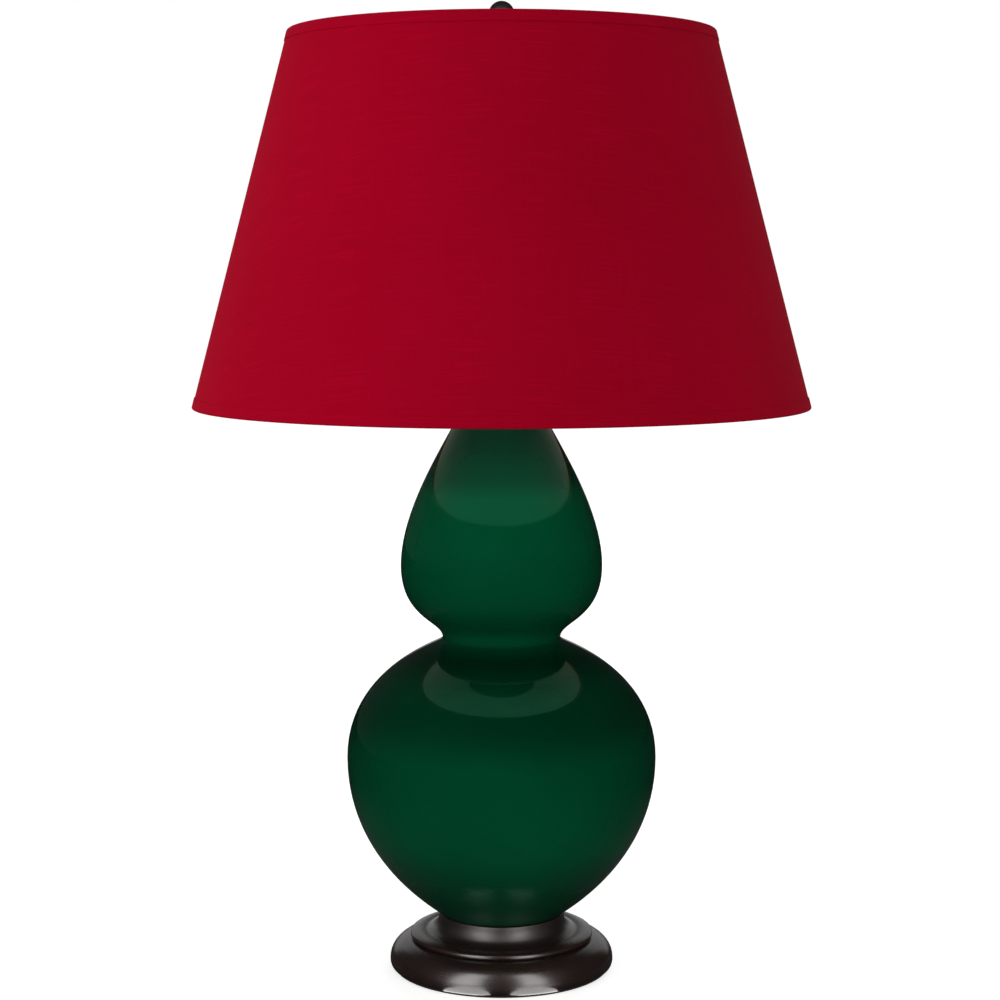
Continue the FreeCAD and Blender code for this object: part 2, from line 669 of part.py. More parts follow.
for side, name in ((1, "right"), (-1, "left")):
    tab_start = (side * size.saddle_reach, size.saddle_rise - size.tab_root)
    tab_outline = draw(saddle, "XZ_Plane", "tab_outline_" + name, tab_start, [
        line(side * outer_reach, size.saddle_rise - size.tab_root),
        line(side * outer_reach, size.saddle_rise + size.tab_length),
        line(side * size.saddle_reach, size.saddle_rise + size.tab_length),
    ])
    extrude(saddle, tab_outline, size.tab_width)
rod_way = draw_circle(saddle, "XY_Plane", "rod_way", 0, 0, rod_hole)
cut_through(saddle, rod_way, both_ways=True)
place(saddle, z=saddle_level)

# ---------------------------------------------------------------- harp

# One wire: a straight leg, a bend outwards, a long side and a top bend, then the same
# back down. The radii of side and top bend follow from the harp's height and width.
leg_start = size.saddle_rise + size.harp_gap
leg_end = leg_start + size.harp_leg
wire_top = size.harp_height - size.block_cover - size.harp_wire
flare = math.radians(size.harp_flare_angle.number)
lean = math.radians(size.harp_lean_angle.number)
flare_x = leg_x + size.harp_flare_radius * (1 - math.cos(flare))
flare_z = leg_end + size.harp_flare_radius * math.sin(flare)
side_rise = math.sin(flare) + math.sin(lean)
side_draw = math.cos(flare) - math.cos(lean)
top_rise = 1 - math.sin(lean)
top_draw = math.cos(lean)
width_left = flare_x - size.harp_top_straight
height_left = wire_top - flare_z
spread = side_rise * top_draw - top_rise * side_draw
side_radius = (height_left * top_draw - width_left * top_rise) / spread
top_radius = (width_left * side_rise - height_left * side_draw) / spread
lean_x = size.harp_top_straight + top_radius * top_draw
lean_z = wire_top - top_radius * top_rise

harp = new_body("harp_wire_bow")
harp_path = draw(harp, "XZ_Plane", "harp_path", (leg_x, leg_start), [
    line(leg_x, leg_end),
    arc(flare_x, flare_z, size.harp_flare_radius, -1),
    arc(lean_x, lean_z, side_radius, 1),
    arc(size.harp_top_straight, wire_top, top_radius, 1),
    line(-size.harp_top_straight, wire_top),
    arc(-lean_x, lean_z, top_radius, 1),
    arc(-flare_x, flare_z, side_radius, 1),
    arc(-leg_x, leg_end, size.harp_flare_radius, -1),
    line(-leg_x, leg_start),
], closed=False)
wire_section = draw_circle(harp, "XY_Plane", "wire_section", leg_x, 0, size.harp_wire)
wire_section.setExpression("AttachmentOffset.Base.z", leg_start.formula)
bow = harp.newObject("PartDesign::AdditivePipe", "bow")
bow.Profile = wire_section
bow.Spine = harp_path
place(harp, z=saddle_level)

# The block clamps the wire's straight top, and the stud stands on it.
block_depth = 2 * size.block_cover + 2 * size.harp_wire
block_body = solid("Box", "clamp_block_body", Length=2 * size.block_half_length,
                   Width=2 * size.block_half_width, Height=block_depth)
place(block_body, -size.block_half_length, -size.block_half_width)
wire_way = solid("Cylinder", "clamp_wire_way", Radius=size.harp_wire + size.block_fit,
                 Height=2 * size.block_half_length)
wire_way.Placement.Rotation = FreeCAD.Rotation(Vector(0, 1, 0), 90)
place(wire_way, -size.block_half_length, 0, block_depth / 2)
block = keep(boolean("Cut", "harp_clamp_block", block_body, wire_way), "harp_clamp_block")
place(block, z=hanging_level - block_depth)

turned("shade_stud", (0, 0), [
    line(size.stud_radius, 0),
    line(size.stud_radius, size.stud_length - size.stud_chamfer),
    line(size.stud_radius - size.stud_chamfer, size.stud_length),
    line(0, size.stud_length),
], hanging_level)

# Each sleeve drops over a tab and a leg and holds them together.
sleeve_middle = (size.saddle_reach + leg_x + size.harp_wire) / 2
for side, name in ((1, "right"), (-1, "left")):
    sleeve = tube("harp_sleeve_" + name, size.sleeve_bore, size.sleeve_bore + size.sleeve_wall,
                  size.sleeve_length)
    place(sleeve, x=side * sleeve_middle, z=saddle_level + size.saddle_rise + size.harp_gap)

# ---------------------------------------------------------------- socket

sheet_metal = size.socket_sheet
rim_inside = size.socket_radius + size.socket_fit
rim_level = size.socket_cap_height - size.socket_cap_overlap
floor_level = size.socket_neck_height + size.socket_floor
turned("socket_cap", (rod_thread, 0), [
    line(size.socket_neck_radius, 0),
    line(size.socket_neck_radius, size.socket_neck_height),
    curve((size.socket_neck_radius + size.socket_dome, size.socket_neck_height + size.socket_floor * 0.4),
          (rim_inside + sheet_metal, rim_level - size.socket_dome), (rim_inside + sheet_metal, rim_level)),
    line(rim_inside + sheet_metal, size.socket_cap_height),
    line(rim_inside, size.socket_cap_height),
    line(rim_inside, rim_level),
    curve((rim_inside, rim_level - size.socket_dome),
          (size.socket_neck_radius + size.socket_dome, floor_level + size.socket_floor * 0.4),
          (size.socket_neck_radius, floor_level)),
    line(rod_thread, floor_level),
], socket_level)

shell_length = size.socket_height - rim_level
shell_level = socket_level + rim_level
key_level = socket_level + size.key_height
key_in_shell = size.key_height - rim_level

shell = new_body("socket_shell")
shell_inside = size.socket_radius - sheet_metal
step_middle = shell_length - size.shell_step_depth
step_low = step_middle - size.shell_step_half
step_high = step_middle + size.shell_step_half
mouth_outside = size.socket_radius - size.shell_step
mouth_inside = shell_inside - size.shell_step
shell_outline = draw(shell, "XZ_Plane", "shell_outline", (shell_inside, 0), [
    line(size.socket_radius, 0),
    line(size.socket_radius, step_low),
    curve((size.socket_radius, step_middle), (mouth_outside, step_middle), (mouth_outside, step_high)),
    line(mouth_outside, shell_length - size.shell_lip),
    line(mouth_inside, shell_length),
    line(mouth_inside, step_high),
    curve((mouth_inside, step_middle), (shell_inside, step_middle), (shell_inside, step_low)),
])
revolve(shell, shell_outline)
shell_hole = draw_circle(shell, "XZ_Plane", "shell_hole", 0, key_in_shell, size.key_hole)
cut_through(shell, shell_hole, front=True)
place(shell, z=shell_level)

liner = new_body("socket_liner")
liner_outside = shell_inside - size.liner_gap
liner_outline = draw(liner, "XZ_Plane", "liner_outline", (liner_outside - size.liner_sheet, 0), [
    line(liner_outside, 0),
    line(liner_outside, shell_length - size.liner_short),
    line(liner_outside - size.liner_sheet, shell_length - size.liner_short),
])
revolve(liner, liner_outline)
liner_hole = draw_circle(liner, "XZ_Plane", "liner_hole", 0, key_in_shell, size.key_hole)
cut_through(liner, liner_hole, front=True)
place(liner, z=shell_level)

# The moulded block holds the switch, the terminals and the threaded shell.
core = new_body("socket_block")
core_base = draw_circle(core, "XY_Plane", "core_base", 0, 0, size.block_radius)
core_pad = core.newObject("PartDesign::Pad", "core_pad")
core_pad.Profile = core_base
core_pad.setExpression("Length", size.block_height.formula)
clear_of_block = size.block_radius * 1.1
for side, name in ((1, "right"), (-1, "left")):
    flat_outline = draw(core, "XZ_Plane", "terminal_flat_" + name, (side * size.terminal_flat, 0), [
        line(side * clear_of_block, 0),
        line(side * clear_of_block, size.block_height - size.terminal_land),
        line(side * size.terminal_flat, size.block_height - size.terminal_land),
    ])
    cut_through(core, flat_outline, both_ways=True)
key_bore = draw_circle(core, "XZ_Plane", "key_bore", 0, key_in_shell, size.key_shaft + size.key_fit)
cut_through(core, key_bore, front=True)
place(core, z=shell_level)

terminal_level = shell_level + size.terminal_rise
for side, name in ((1, "right"), (-1, "left")):
    head = turned("terminal_screw_" + name, (0, 0), [
        line(size.terminal_head, 0),
        line(size.terminal_head, size.terminal_head_height - size.terminal_round),
        curve((size.terminal_head - size.terminal_round / 2, size.terminal_head_height),
              (size.terminal_head / 3, size.terminal_head_height), (0, size.terminal_head_height)),
    ])
    head.Placement.Rotation = FreeCAD.Rotation(Vector(0, 1, 0), side * 90)
    place(head, x=side * size.terminal_flat, z=terminal_level)

screw_level = shell_level + size.block_height
screw_outside = size.screw_shell_bore + sheet_metal
screw_length = socket_level + size.socket_height - screw_level - size.screw_shell_short
turned("screw_shell", (size.screw_shell_hole, 0), [
    line(screw_outside, 0),
    line(screw_outside, screw_length),
    line(size.screw_shell_bore, screw_length),
    line(size.screw_shell_bore, sheet_metal),
    line(size.screw_shell_hole, sheet_metal),
], screw_level)

contact = new_body("spring_contact")
strip_end = size.contact_tip - size.contact_strip
bend_inside = size.contact_strip * 2.5 - size.contact_back
contact_outline = draw(contact, "XZ_Plane", "contact_outline", (-size.contact_back, 0), [
    line(strip_end, 0),
    line(strip_end, size.contact_strip),
    line(bend_inside, size.contact_strip),
    line(size.contact_tip, size.contact_rise - size.contact_strip),
    line(size.contact_tip, size.contact_rise),
    line(size.contact_tip - 3 * size.contact_strip, size.contact_rise),
    line(-size.contact_back, size.contact_strip * 1.6),
])
extrude(contact, contact_outline, size.contact_width)
place(contact, z=screw_level)

# ---------------------------------------------------------------- switch

# The shaft starts near the lamp's axis and points to the front. It turns with its knob.
shaft_length = size.key_reach - size.key_start
shaft = turned("switch_shaft", (0, 0), [
    line(size.key_shaft, 0),
    line(size.key_shaft, shaft_length),
    line(0, shaft_length),
])
shaft.Placement.Rotation = FreeCAD.Rotation(Vector(1, 0, 0), 90)
place(shaft, y=-size.key_start, z=key_level)
knob = new_body("switch_knob")
knob_outline = draw(knob, "XZ_Plane", "knob_outline", (size.key_shaft, 0), [
    line(size.key_knob_radius - size.key_knob_round, 0),
    line(size.key_knob_radius, size.key_knob_round),
    line(size.key_knob_radius, size.key_knob_length - size.key_knob_round),
    line(size.key_knob_radius - size.key_knob_round, size.key_knob_length),
    line(0, size.key_knob_length),
    line(0, size.key_knob_length - size.key_knob_end),
    line(size.key_shaft, size.key_knob_length - size.key_knob_end),
])
revolve(knob, knob_outline)
groove_at = size.key_knob_radius + size.key_groove_out
rib_groove = draw_circle(knob, "XY_Plane", "rib_groove", groove_at, 0, size.key_groove)
groove_cut = cut_through(knob, rib_groove, both_ways=True)
document.recompute()
grooves = knob.newObject("PartDesign::PolarPattern", "knob_grooves")
grooves.Originals = [groove_cut]
grooves.Axis = ([item for item in knob.Origin.OriginFeatures if item.Role == "Z_Axis"][0], [""])
grooves.Angle = 360
grooves.setExpression("Occurrences", size.key_groove_count.formula)
knob.Tip = grooves
knob.Placement.Rotation = FreeCAD.Rotation(Vector(1, 0, 0), 90)
place(knob, y=size.key_knob_length - size.key_knob_end - size.key_reach, z=key_level)

# ---------------------------------------------------------------- bulb

bulb_level = screw_level + size.contact_rise + size.bulb_gap
tip = size.tip_radius
turned("bulb_contact", (0, 0), [
    curve((tip * 0.45, 0), (tip * 0.9, size.tip_height * 0.4), (tip, size.tip_height)),
    line(0, size.tip_height),
], bulb_level)
base_start = size.tip_height + size.insulator_height
turned("bulb_insulator", (0, size.tip_height), [
    line(tip, size.tip_height),
    line(size.insulator_radius, base_start),
    line(0, base_start),
], bulb_level)

# The base's thread is drawn as rings. Its four turns fill what the rims leave free.
thread_root = size.bulb_base_radius - size.thread_depth
thread_start = base_start + size.thread_depth * 1.4
crest = size.thread_pitch * 0.56
trough = size.thread_pitch * 0.67
threads = []
for turn in range(4):
    low = thread_start + turn * size.thread_pitch
    threads.append(curve((size.bulb_base_radius, low + size.thread_pitch * 0.11),
                         (size.bulb_base_radius, low + crest), (thread_root, low + trough)))
    threads.append(line(thread_root, low + size.thread_pitch))
base_top = base_start + size.bulb_base_length
inside_thread = thread_root - 1.4 * size.base_wall
turned("bulb_base", (size.insulator_radius, base_start), [
    line(thread_root, thread_start),
    *threads,
    line(size.bulb_base_radius, base_top),
    line(size.bulb_base_radius - size.base_wall, base_top),
    line(inside_thread, base_top - size.base_rim),
    line(inside_thread, base_start + 3 * size.base_wall),
    line(0, base_start + 3 * size.base_wall),
    line(0, base_start),
], bulb_level)
glass = size.bulb_glass
ball_level = size.bulb_length - size.bulb_radius
glass_level = base_top + size.glass_gap
glass_edge = size.bulb_base_radius - size.glass_seat
neck_level = glass_level + size.bulb_neck_radius * 0.47
turned("bulb_glass", (glass_edge, glass_level), [
    curve((size.bulb_neck_radius, neck_level), (size.bulb_radius, ball_level - size.glass_ease),
          (size.bulb_radius, ball_level)),
    arc(0, size.bulb_length, size.bulb_radius, 1),
    line(0, size.bulb_length - glass),
    arc(size.bulb_radius - glass, ball_level, size.bulb_radius - glass, -1),
    curve((size.bulb_radius - glass, ball_level - size.glass_ease),
          (size.bulb_neck_radius - glass, neck_level + glass / 2), (glass_edge - glass, glass_level)),
], bulb_level)

# ---------------------------------------------------------------- shade

slope = (size.shade_bottom_radius - size.shade_top_radius) / size.shade_height


def cone_radius(inset, height):
    """Radius of the shade this far inside its fabric, at this height above its bottom."""
    return size.shade_bottom_radius - inset - slope * height


def cone_sheet(label, inset, thickness):
    """One cone-shaped layer of the shade, from edge to edge."""
    top = size.shade_height
    turned(label, (cone_radius(inset + thickness, 0), 0), [
        line(cone_radius(inset, 0), 0),
        line(cone_radius(inset, top), top),
        line(cone_radius(inset + thickness, top), top),
    ], shade_level)


cone_sheet("shade_fabric", 0, size.fabric_thickness)
cone_sheet("shade_backing", size.fabric_thickness, size.backing_thickness)

# Both ring wires lie inside the backing, one wire radius from each edge. On the slope, a
# wire reaches out a little more than its radius.
ring_reach = size.ring_wire * 1.04
ring_inset = size.fabric_thickness + size.backing_thickness + ring_reach + size.ring_gap
top_ring_radius = cone_radius(ring_inset, size.shade_height - size.ring_wire)
bottom_ring_radius = cone_radius(ring_inset, size.ring_wire)
top_ring = solid("Torus", "top_ring", Radius1=top_ring_radius, Radius2=size.ring_wire)
place(keep(top_ring, "shade_top_ring"), z=shade_top_level - size.ring_wire)
bottom_ring = solid("Torus", "bottom_ring", Radius1=bottom_ring_radius, Radius2=size.ring_wire)
place(keep(bottom_ring, "shade_bottom_ring"), z=shade_level + size.ring_wire)

# The trim is a folded strip of the same fabric, round each edge and its ring wire.
fold = size.trim_thickness
trims = {}
for label, level, way in (("shade_trim_bottom", 0, 1), ("shade_trim_top", size.shade_height, -1)):
    inside = ring_inset + ring_reach + size.ring_gap
    outer_end = level + way * size.trim_height
    inner_end = level + way * size.trim_inside
    under = level - way * fold
    trims[label] = turned(label, (cone_radius(-fold, outer_end), outer_end), [
        line(cone_radius(0, outer_end), outer_end),
        line(cone_radius(0, level), level),
        line(cone_radius(inside, level), level),
        line(cone_radius(inside, inner_end), inner_end),
        line(cone_radius(inside + fold, inner_end), inner_end),
        line(cone_radius(inside + fold, under), under),
        line(cone_radius(-fold, under), under),
    ], shade_level)

# Inside, the upper trim is notched where each of the spider's arms meets the ring.
top_trim = trims["shade_trim_top"]
notch_half = size.arm_wire + size.notch_gap
notch_low = size.shade_height - size.trim_inside - size.notch_gap
notch_outline = draw(top_trim, "YZ_Plane", "notch", (-notch_half, notch_low), [
    line(notch_half, notch_low),
    line(notch_half, size.shade_height - size.notch_gap),
    line(-notch_half, size.shade_height - size.notch_gap),
])
document.recompute()
notch = top_trim.newObject("PartDesign::Pocket", "notch_cut")
notch.Profile = notch_outline
notch.Reversed = True
notch_length = cone_radius(inside - size.notch_gap, size.shade_height - size.trim_inside)
notch.setExpression("Length", notch_length.formula)
document.recompute()
notches = top_trim.newObject("PartDesign::PolarPattern", "notches")
notches.Originals = [notch]
notches.Axis = ([item for item in top_trim.Origin.OriginFeatures if item.Role == "Z_Axis"][0], [""])
notches.Angle = 360
notches.setExpression("Occurrences", size.arm_count.formula)
top_trim.Tip = notches
top_trim.Placement.Rotation = FreeCAD.Rotation(Vector(0, 0, 1), -90)

# The spider: a flat hub on the stud, and rods that rise from it to the top ring.
spider = new_body("shade_spider")
rod_level = size.arm_wire
arm_end = top_ring_radius - size.ring_wire
arm_path = draw(spider, "XZ_Plane", "arm_path", (size.arm_root, rod_level), [
    line(size.arm_flat, rod_level),
    line(arm_end, size.shade_drop - size.ring_wire),
], closed=False)
arm_section = draw_circle(spider, "YZ_Plane", "arm_section", 0, rod_level, size.arm_wire)
arm_section.setExpression("AttachmentOffset.Base.z", size.arm_root.formula)
arm = spider.newObject("PartDesign::AdditivePipe", "arm")
arm.Profile = arm_section
arm.Spine = arm_path
document.recompute()
arms = spider.newObject("PartDesign::PolarPattern", "arms")
arms.Originals = [arm]
arms.Axis = ([item for item in spider.Origin.OriginFeatures if item.Role == "Z_Axis"][0], [""])
arms.Angle = 360
arms.setExpression("Occurrences", size.arm_count.formula)
spider.Tip = arms
document.recompute()
hub_outline = draw(spider, "XZ_Plane", "hub_outline", (size.stud_radius + size.hub_fit, 0), [
    line(size.hub_radius, 0),
    line(size.hub_radius, size.hub_thickness),
    line(size.stud_radius + size.hub_fit, size.hub_thickness),
])
spider.Tip = revolve(spider, hub_outline)
spider.Placement.Rotation = FreeCAD.Rotation(Vector(0, 0, 1), -90)
place(spider, z=hub_level)

# ---------------------------------------------------------------- finial

finial_level = hub_level + size.hub_thickness + size.hub_gap
ball_centre = size.finial_height - size.finial_ball
finial_bore = size.stud_radius + size.hub_fit
quarter = size.finial_ball * 0.5523
base_edge = size.finial_base - size.finial_collar_round * 0.6
collar_edge = size.finial_collar - size.finial_collar_round
ball_start = size.finial_collar_high + size.finial_collar_round
turned("finial", (finial_bore, 0), [
    line(base_edge, 0),
    curve((size.finial_base, 0), (size.finial_base, size.finial_base_height * 0.8),
          (base_edge, size.finial_base_height)),
    curve((size.finial_stem, size.finial_base_height + size.finial_collar_round),
          (size.finial_stem, size.finial_waist * 0.6), (size.finial_stem, size.finial_waist)),
    curve((size.finial_stem, size.finial_collar_low - size.finial_collar_round),
          (collar_edge - size.finial_collar_round, size.finial_collar_low),
          (collar_edge, size.finial_collar_low)),
    curve((size.finial_collar, size.finial_collar_low), (size.finial_collar, size.finial_collar_high),
          (collar_edge, size.finial_collar_high)),
    line(size.finial_ball * 0.68, ball_start),
    curve((size.finial_ball * 0.9, ball_start + size.finial_ball * 0.2),
          (size.finial_ball, ball_centre - size.finial_ball * 0.3), (size.finial_ball, ball_centre)),
    curve((size.finial_ball, ball_centre + quarter), (quarter, size.finial_height), (0, size.finial_height)),
    line(0, size.finial_bore_depth),
    line(finial_bore, size.finial_bore_depth),
], finial_level)

# ---------------------------------------------------------------- check and write

document.recompute()
for item in document.Objects:
    if "Invalid" in item.State or "Error" in item.State:
        raise RuntimeError("%s did not build: %s" % (item.Label, item.State))
for piece in pieces:
    if piece.Shape.isNull() or not piece.Shape.isValid():
        raise RuntimeError(piece.Label + " has no valid solid")
os.makedirs("parts", exist_ok=True)
for piece in pieces:
    piece.Shape.exportStep("parts/%s.step" % piece.Label)
    box = piece.Shape.BoundBox
    print("%-22s %d solid, z %7.2f to %7.2f, volume %10.1f"
          % (piece.Label, len(piece.Shape.Solids), box.ZMin, box.ZMax, piece.Shape.Volume))
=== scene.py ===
"""A table lamp with a glazed double gourd body, a bronze foot and a red fabric shade.

The lamp stands at the origin and faces -Y. Real sizes are written in millimetres and
turned to metres where a piece is made.
"""

import math

import bpy
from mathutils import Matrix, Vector


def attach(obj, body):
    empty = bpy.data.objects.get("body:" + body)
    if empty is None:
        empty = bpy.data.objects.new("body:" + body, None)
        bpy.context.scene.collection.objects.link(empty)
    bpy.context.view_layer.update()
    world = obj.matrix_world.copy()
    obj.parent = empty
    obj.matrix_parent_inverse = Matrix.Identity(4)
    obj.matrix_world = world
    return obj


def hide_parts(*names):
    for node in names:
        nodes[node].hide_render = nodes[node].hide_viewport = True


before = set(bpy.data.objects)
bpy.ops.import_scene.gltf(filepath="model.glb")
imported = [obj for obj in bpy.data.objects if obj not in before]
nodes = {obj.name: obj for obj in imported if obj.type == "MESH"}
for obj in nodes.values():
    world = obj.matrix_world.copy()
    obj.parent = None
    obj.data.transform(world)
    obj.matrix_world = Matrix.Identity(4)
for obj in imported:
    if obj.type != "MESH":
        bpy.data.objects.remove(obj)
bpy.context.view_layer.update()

# ------------------------------------------------------------------ camera and studio
# A pale studio: a white floor and backdrop, dark in front so that glaze and bronze stay
# deep, and broad soft lamps for the colours. The bronze has strip lamps of its own.

DEGREES_DOWN = 6.0587
camera_data = bpy.data.cameras.new("camera")
camera_data.sensor_width = 36
camera_data.lens = 82.08
camera = bpy.data.objects.new("camera", camera_data)
camera.location = (-0.0012, -1.79114, 0.56669)
camera.rotation_euler = (math.radians(90 - DEGREES_DOWN), 0, 0)
bpy.context.scene.collection.objects.link(camera)
bpy.context.scene.camera = camera
bpy.context.scene.view_settings.view_transform = "Standard"


def linear(hex_colour):
    """An sRGB hex colour as the linear colour that shaders take."""
    parts = [int(hex_colour[i:i + 2], 16) / 255 for i in (0, 2, 4)]
    return [c / 12.92 if c <= 0.04045 else ((c + 0.055) / 1.055) ** 2.4 for c in parts] + [1.0]


def add_node(tree, kind, inputs=None, **settings):
    """Adds a node with its settings. Its inputs are values, or the sockets that feed them.

    A Mix node's sockets share their names, so they go by number: 0 is the factor, 2 and 3
    are its two numbers, and 6 and 7 its two colours.
    """
    node = tree.nodes.new(kind)
    for setting, value in settings.items():
        setattr(node, setting, value)
    for name, value in (inputs or {}).items():
        if isinstance(value, bpy.types.NodeSocket):
            tree.links.new(value, node.inputs[name])
        else:
            node.inputs[name].default_value = value
    return node


# The backdrop is white where a ray sees it. Light for the colours is a plain grey, and
# mirrored rays meet the white backdrop behind the lamp and a dark room elsewhere.
world = bpy.data.worlds.new("studio")
bpy.context.scene.world = world
world.use_nodes = True
tree = world.node_tree
tree.nodes.clear()
rays = add_node(tree, "ShaderNodeLightPath")
direction = add_node(tree, "ShaderNodeTexCoord")
heading = add_node(tree, "ShaderNodeSeparateXYZ", {"Vector": direction.outputs["Generated"]})
backdrop = add_node(tree, "ShaderNodeMapRange", {
    "Value": heading.outputs["Y"], "From Min": 0.987, "From Max": 0.996,
    "To Min": 0.0, "To Max": 1.0})
dark_room = add_node(tree, "ShaderNodeMapRange", {
    "Value": heading.outputs["X"], "From Min": 0.5, "From Max": -0.7,
    "To Min": 0.01, "To Max": 0.04})
mirrored = add_node(tree, "ShaderNodeMath", {
    0: dark_room.outputs["Result"], 1: backdrop.outputs["Result"]}, operation="MAXIMUM")
seen = add_node(tree, "ShaderNodeMath", {
    0: rays.outputs["Is Camera Ray"], 1: rays.outputs["Is Transmission Ray"]},
    operation="MAXIMUM")
lit_or_mirrored = add_node(tree, "ShaderNodeMix", {
    0: rays.outputs["Is Glossy Ray"], 2: 0.50, 3: mirrored.outputs["Value"]}, data_type="FLOAT")
strength = add_node(tree, "ShaderNodeMix", {
    0: seen.outputs["Value"], 2: lit_or_mirrored.outputs[0], 3: 1.0}, data_type="FLOAT")
sky = add_node(tree, "ShaderNodeBackground", {
    "Color": linear("FFFFFF"), "Strength": strength.outputs[0]})
add_node(tree, "ShaderNodeOutputWorld", {"Surface": sky.outputs["Background"]})

# A white painted floor, which keeps the lamp's soft shadow. Glaze and bronze mirror it
# near the lamp, and further off they mirror the dark room instead.
bpy.ops.object.select_all(action="DESELECT")
bpy.ops.mesh.primitive_plane_add(size=16, location=(0, 0, -0.0002))
floor = bpy.context.object
floor.name = "floor"
floor_paint = bpy.data.materials.new("white painted floor")
floor_paint.use_nodes = True
tree = floor_paint.node_tree
tree.nodes.clear()
rays = add_node(tree, "ShaderNodeLightPath")
place = add_node(tree, "ShaderNodeTexCoord")
from_lamp = add_node(tree, "ShaderNodeVectorMath", {
    0: place.outputs["Object"]}, operation="LENGTH")
near = add_node(tree, "ShaderNodeMapRange", {
    "Value": from_lamp.outputs["Value"], "From Min": 0.2, "From Max": 0.6,
    "To Min": 0.08, "To Max": 0.01})
brightness = add_node(tree, "ShaderNodeMix", {
    0: rays.outputs["Is Glossy Ray"], 2: linear("D8D8D8")[0], 3: near.outputs["Result"]},
    data_type="FLOAT")
floor_grey = add_node(tree, "ShaderNodeCombineColor", {
    channel: brightness.outputs[0] for channel in ("Red", "Green", "Blue")})
paint = add_node(tree, "ShaderNodeBsdfDiffuse", {"Color": floor_grey.outputs["Color"]})
white = add_node(tree, "ShaderNodeEmission", {"Color": linear("FFFFFF"), "Strength": 0.72})
lifted = add_node(tree, "ShaderNodeAddShader", {
    0: paint.outputs["BSDF"], 1: white.outputs["Emission"]})
seen = add_node(tree, "ShaderNodeMath", {
    0: rays.outputs["Is Camera Ray"], 1: rays.outputs["Is Transmission Ray"]},
    operation="MAXIMUM")
surface = add_node(tree, "ShaderNodeMixShader", {
    0: seen.outputs["Value"], 1: paint.outputs["BSDF"], 2: lifted.outputs["Shader"]})
add_node(tree, "ShaderNodeOutputMaterial", {"Surface": surface.outputs["Shader"]})
floor.data.materials.append(floor_paint)


def soft_lamp(name, place, aim, width, height, watts):
    """A softbox that stands at its place and points at its aim. It isn't mirrored."""
    data = bpy.data.lights.new(name, "AREA")
    data.shape = "RECTANGLE"
    data.size = width
    data.size_y = height
    data.energy = watts
    lamp = bpy.data.objects.new(name, data)
    lamp.location = place
    lamp.rotation_euler = (Vector(aim) - Vector(place)).to_track_quat("-Z", "Y").to_euler()
    bpy.context.scene.collection.objects.link(lamp)
    lamp.visible_camera = False
    lamp.visible_glossy = False
    return lamp


wide_lamps = [
    soft_lamp("left_softbox", (-1.9, -2.5, 1.0), (0, 0, 0.35), 1.6, 1.6, 14),
    soft_lamp("right_softbox", (1.9, -2.5, 1.0), (0, 0, 0.35), 1.6, 1.6, 11),
]
soft_lamp("back_softbox", (0.6, 3.0, 1.6), (0, 0, 0.4), 1.6, 1.6, 22)

# ------------------------------------------------------------------------- felt pad
# A disc of dark wool felt, die-cut and glued under the foot so that the lamp doesn't
# scratch the table. Its edge is a little furry.

MM = 0.001
FELT_THICKNESS = 2


def new_material(name, settings):
    """A material whose shader has these plain settings, with its tree for the patterns."""
    material = bpy.data.materials.new(name)
    material.use_nodes = True
    shader = material.node_tree.nodes["Principled BSDF"]
    for setting, value in settings.items():
        shader.inputs[setting].default_value = value
    return material, material.node_tree, shader


def cover(piece, material):
    """Gives a piece one material all over."""
    piece.data.materials.clear()
    piece.data.materials.append(material)


def grained(size):
    """The scale of a pattern whose grains are this many millimetres across."""
    return 1 / (size * MM)


# Wool felt: almost black and quite matt, with a mottle of fibres 1 mm long in clumps of 8.
felt, tree, shader = new_material("wool felt, die-cut", {
    "Roughness": 0.95, "Specular IOR Level": 0.2, "Sheen Weight": 0.4, "Sheen Roughness": 0.6})
place = add_node(tree, "ShaderNodeTexCoord")
fibres = add_node(tree, "ShaderNodeTexNoise", {
    "Vector": place.outputs["Object"], "Scale": grained(1.11), "Detail": 6.0, "Roughness": 0.7})
clumps = add_node(tree, "ShaderNodeTexNoise", {
    "Vector": place.outputs["Object"], "Scale": grained(8.33), "Detail": 3.0})
wool = add_node(tree, "ShaderNodeMix", {
    0: fibres.outputs["Fac"], 6: linear("14110F"), 7: linear("2E2824")}, data_type="RGBA")
tree.links.new(wool.outputs[2], shader.inputs["Base Color"])
fuzz = add_node(tree, "ShaderNodeMath", {
    0: fibres.outputs["Fac"], 1: clumps.outputs["Fac"]}, operation="ADD")
bump = add_node(tree, "ShaderNodeBump", {
    "Height": fuzz.outputs["Value"], "Strength": 0.6, "Distance": 0.4 * MM})
tree.links.new(bump.outputs["Normal"], shader.inputs["Normal"])

bpy.ops.object.select_all(action="DESELECT")
bpy.ops.mesh.primitive_cylinder_add(vertices=160, radius=86 * MM, depth=FELT_THICKNESS * MM,
                                    location=(0, 0, FELT_THICKNESS / 2 * MM))
felt_pad = bpy.context.object
felt_pad.name = "felt_disc"
bpy.ops.object.transform_apply(location=True)
rounding = felt_pad.modifiers.new("soft_edge", "BEVEL")
rounding.width = 0.5 * MM
rounding.segments = 3
rounding.limit_method = "ANGLE"
bpy.ops.object.modifier_apply(modifier="soft_edge")
bpy.ops.object.shade_smooth_by_angle(angle=math.radians(40))
cover(felt_pad, felt)
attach(felt_pad, "root")
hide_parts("felt_pad")

# ----------------------------------------------------------------------------- foot
# A spun and turned metal shell with a dark bronze finish: a drum with a round shoulder,
# a groove, a bead, a ledge, and a neck whose lip holds the gourd. The cord leaves at
# the back through a hole near the floor.


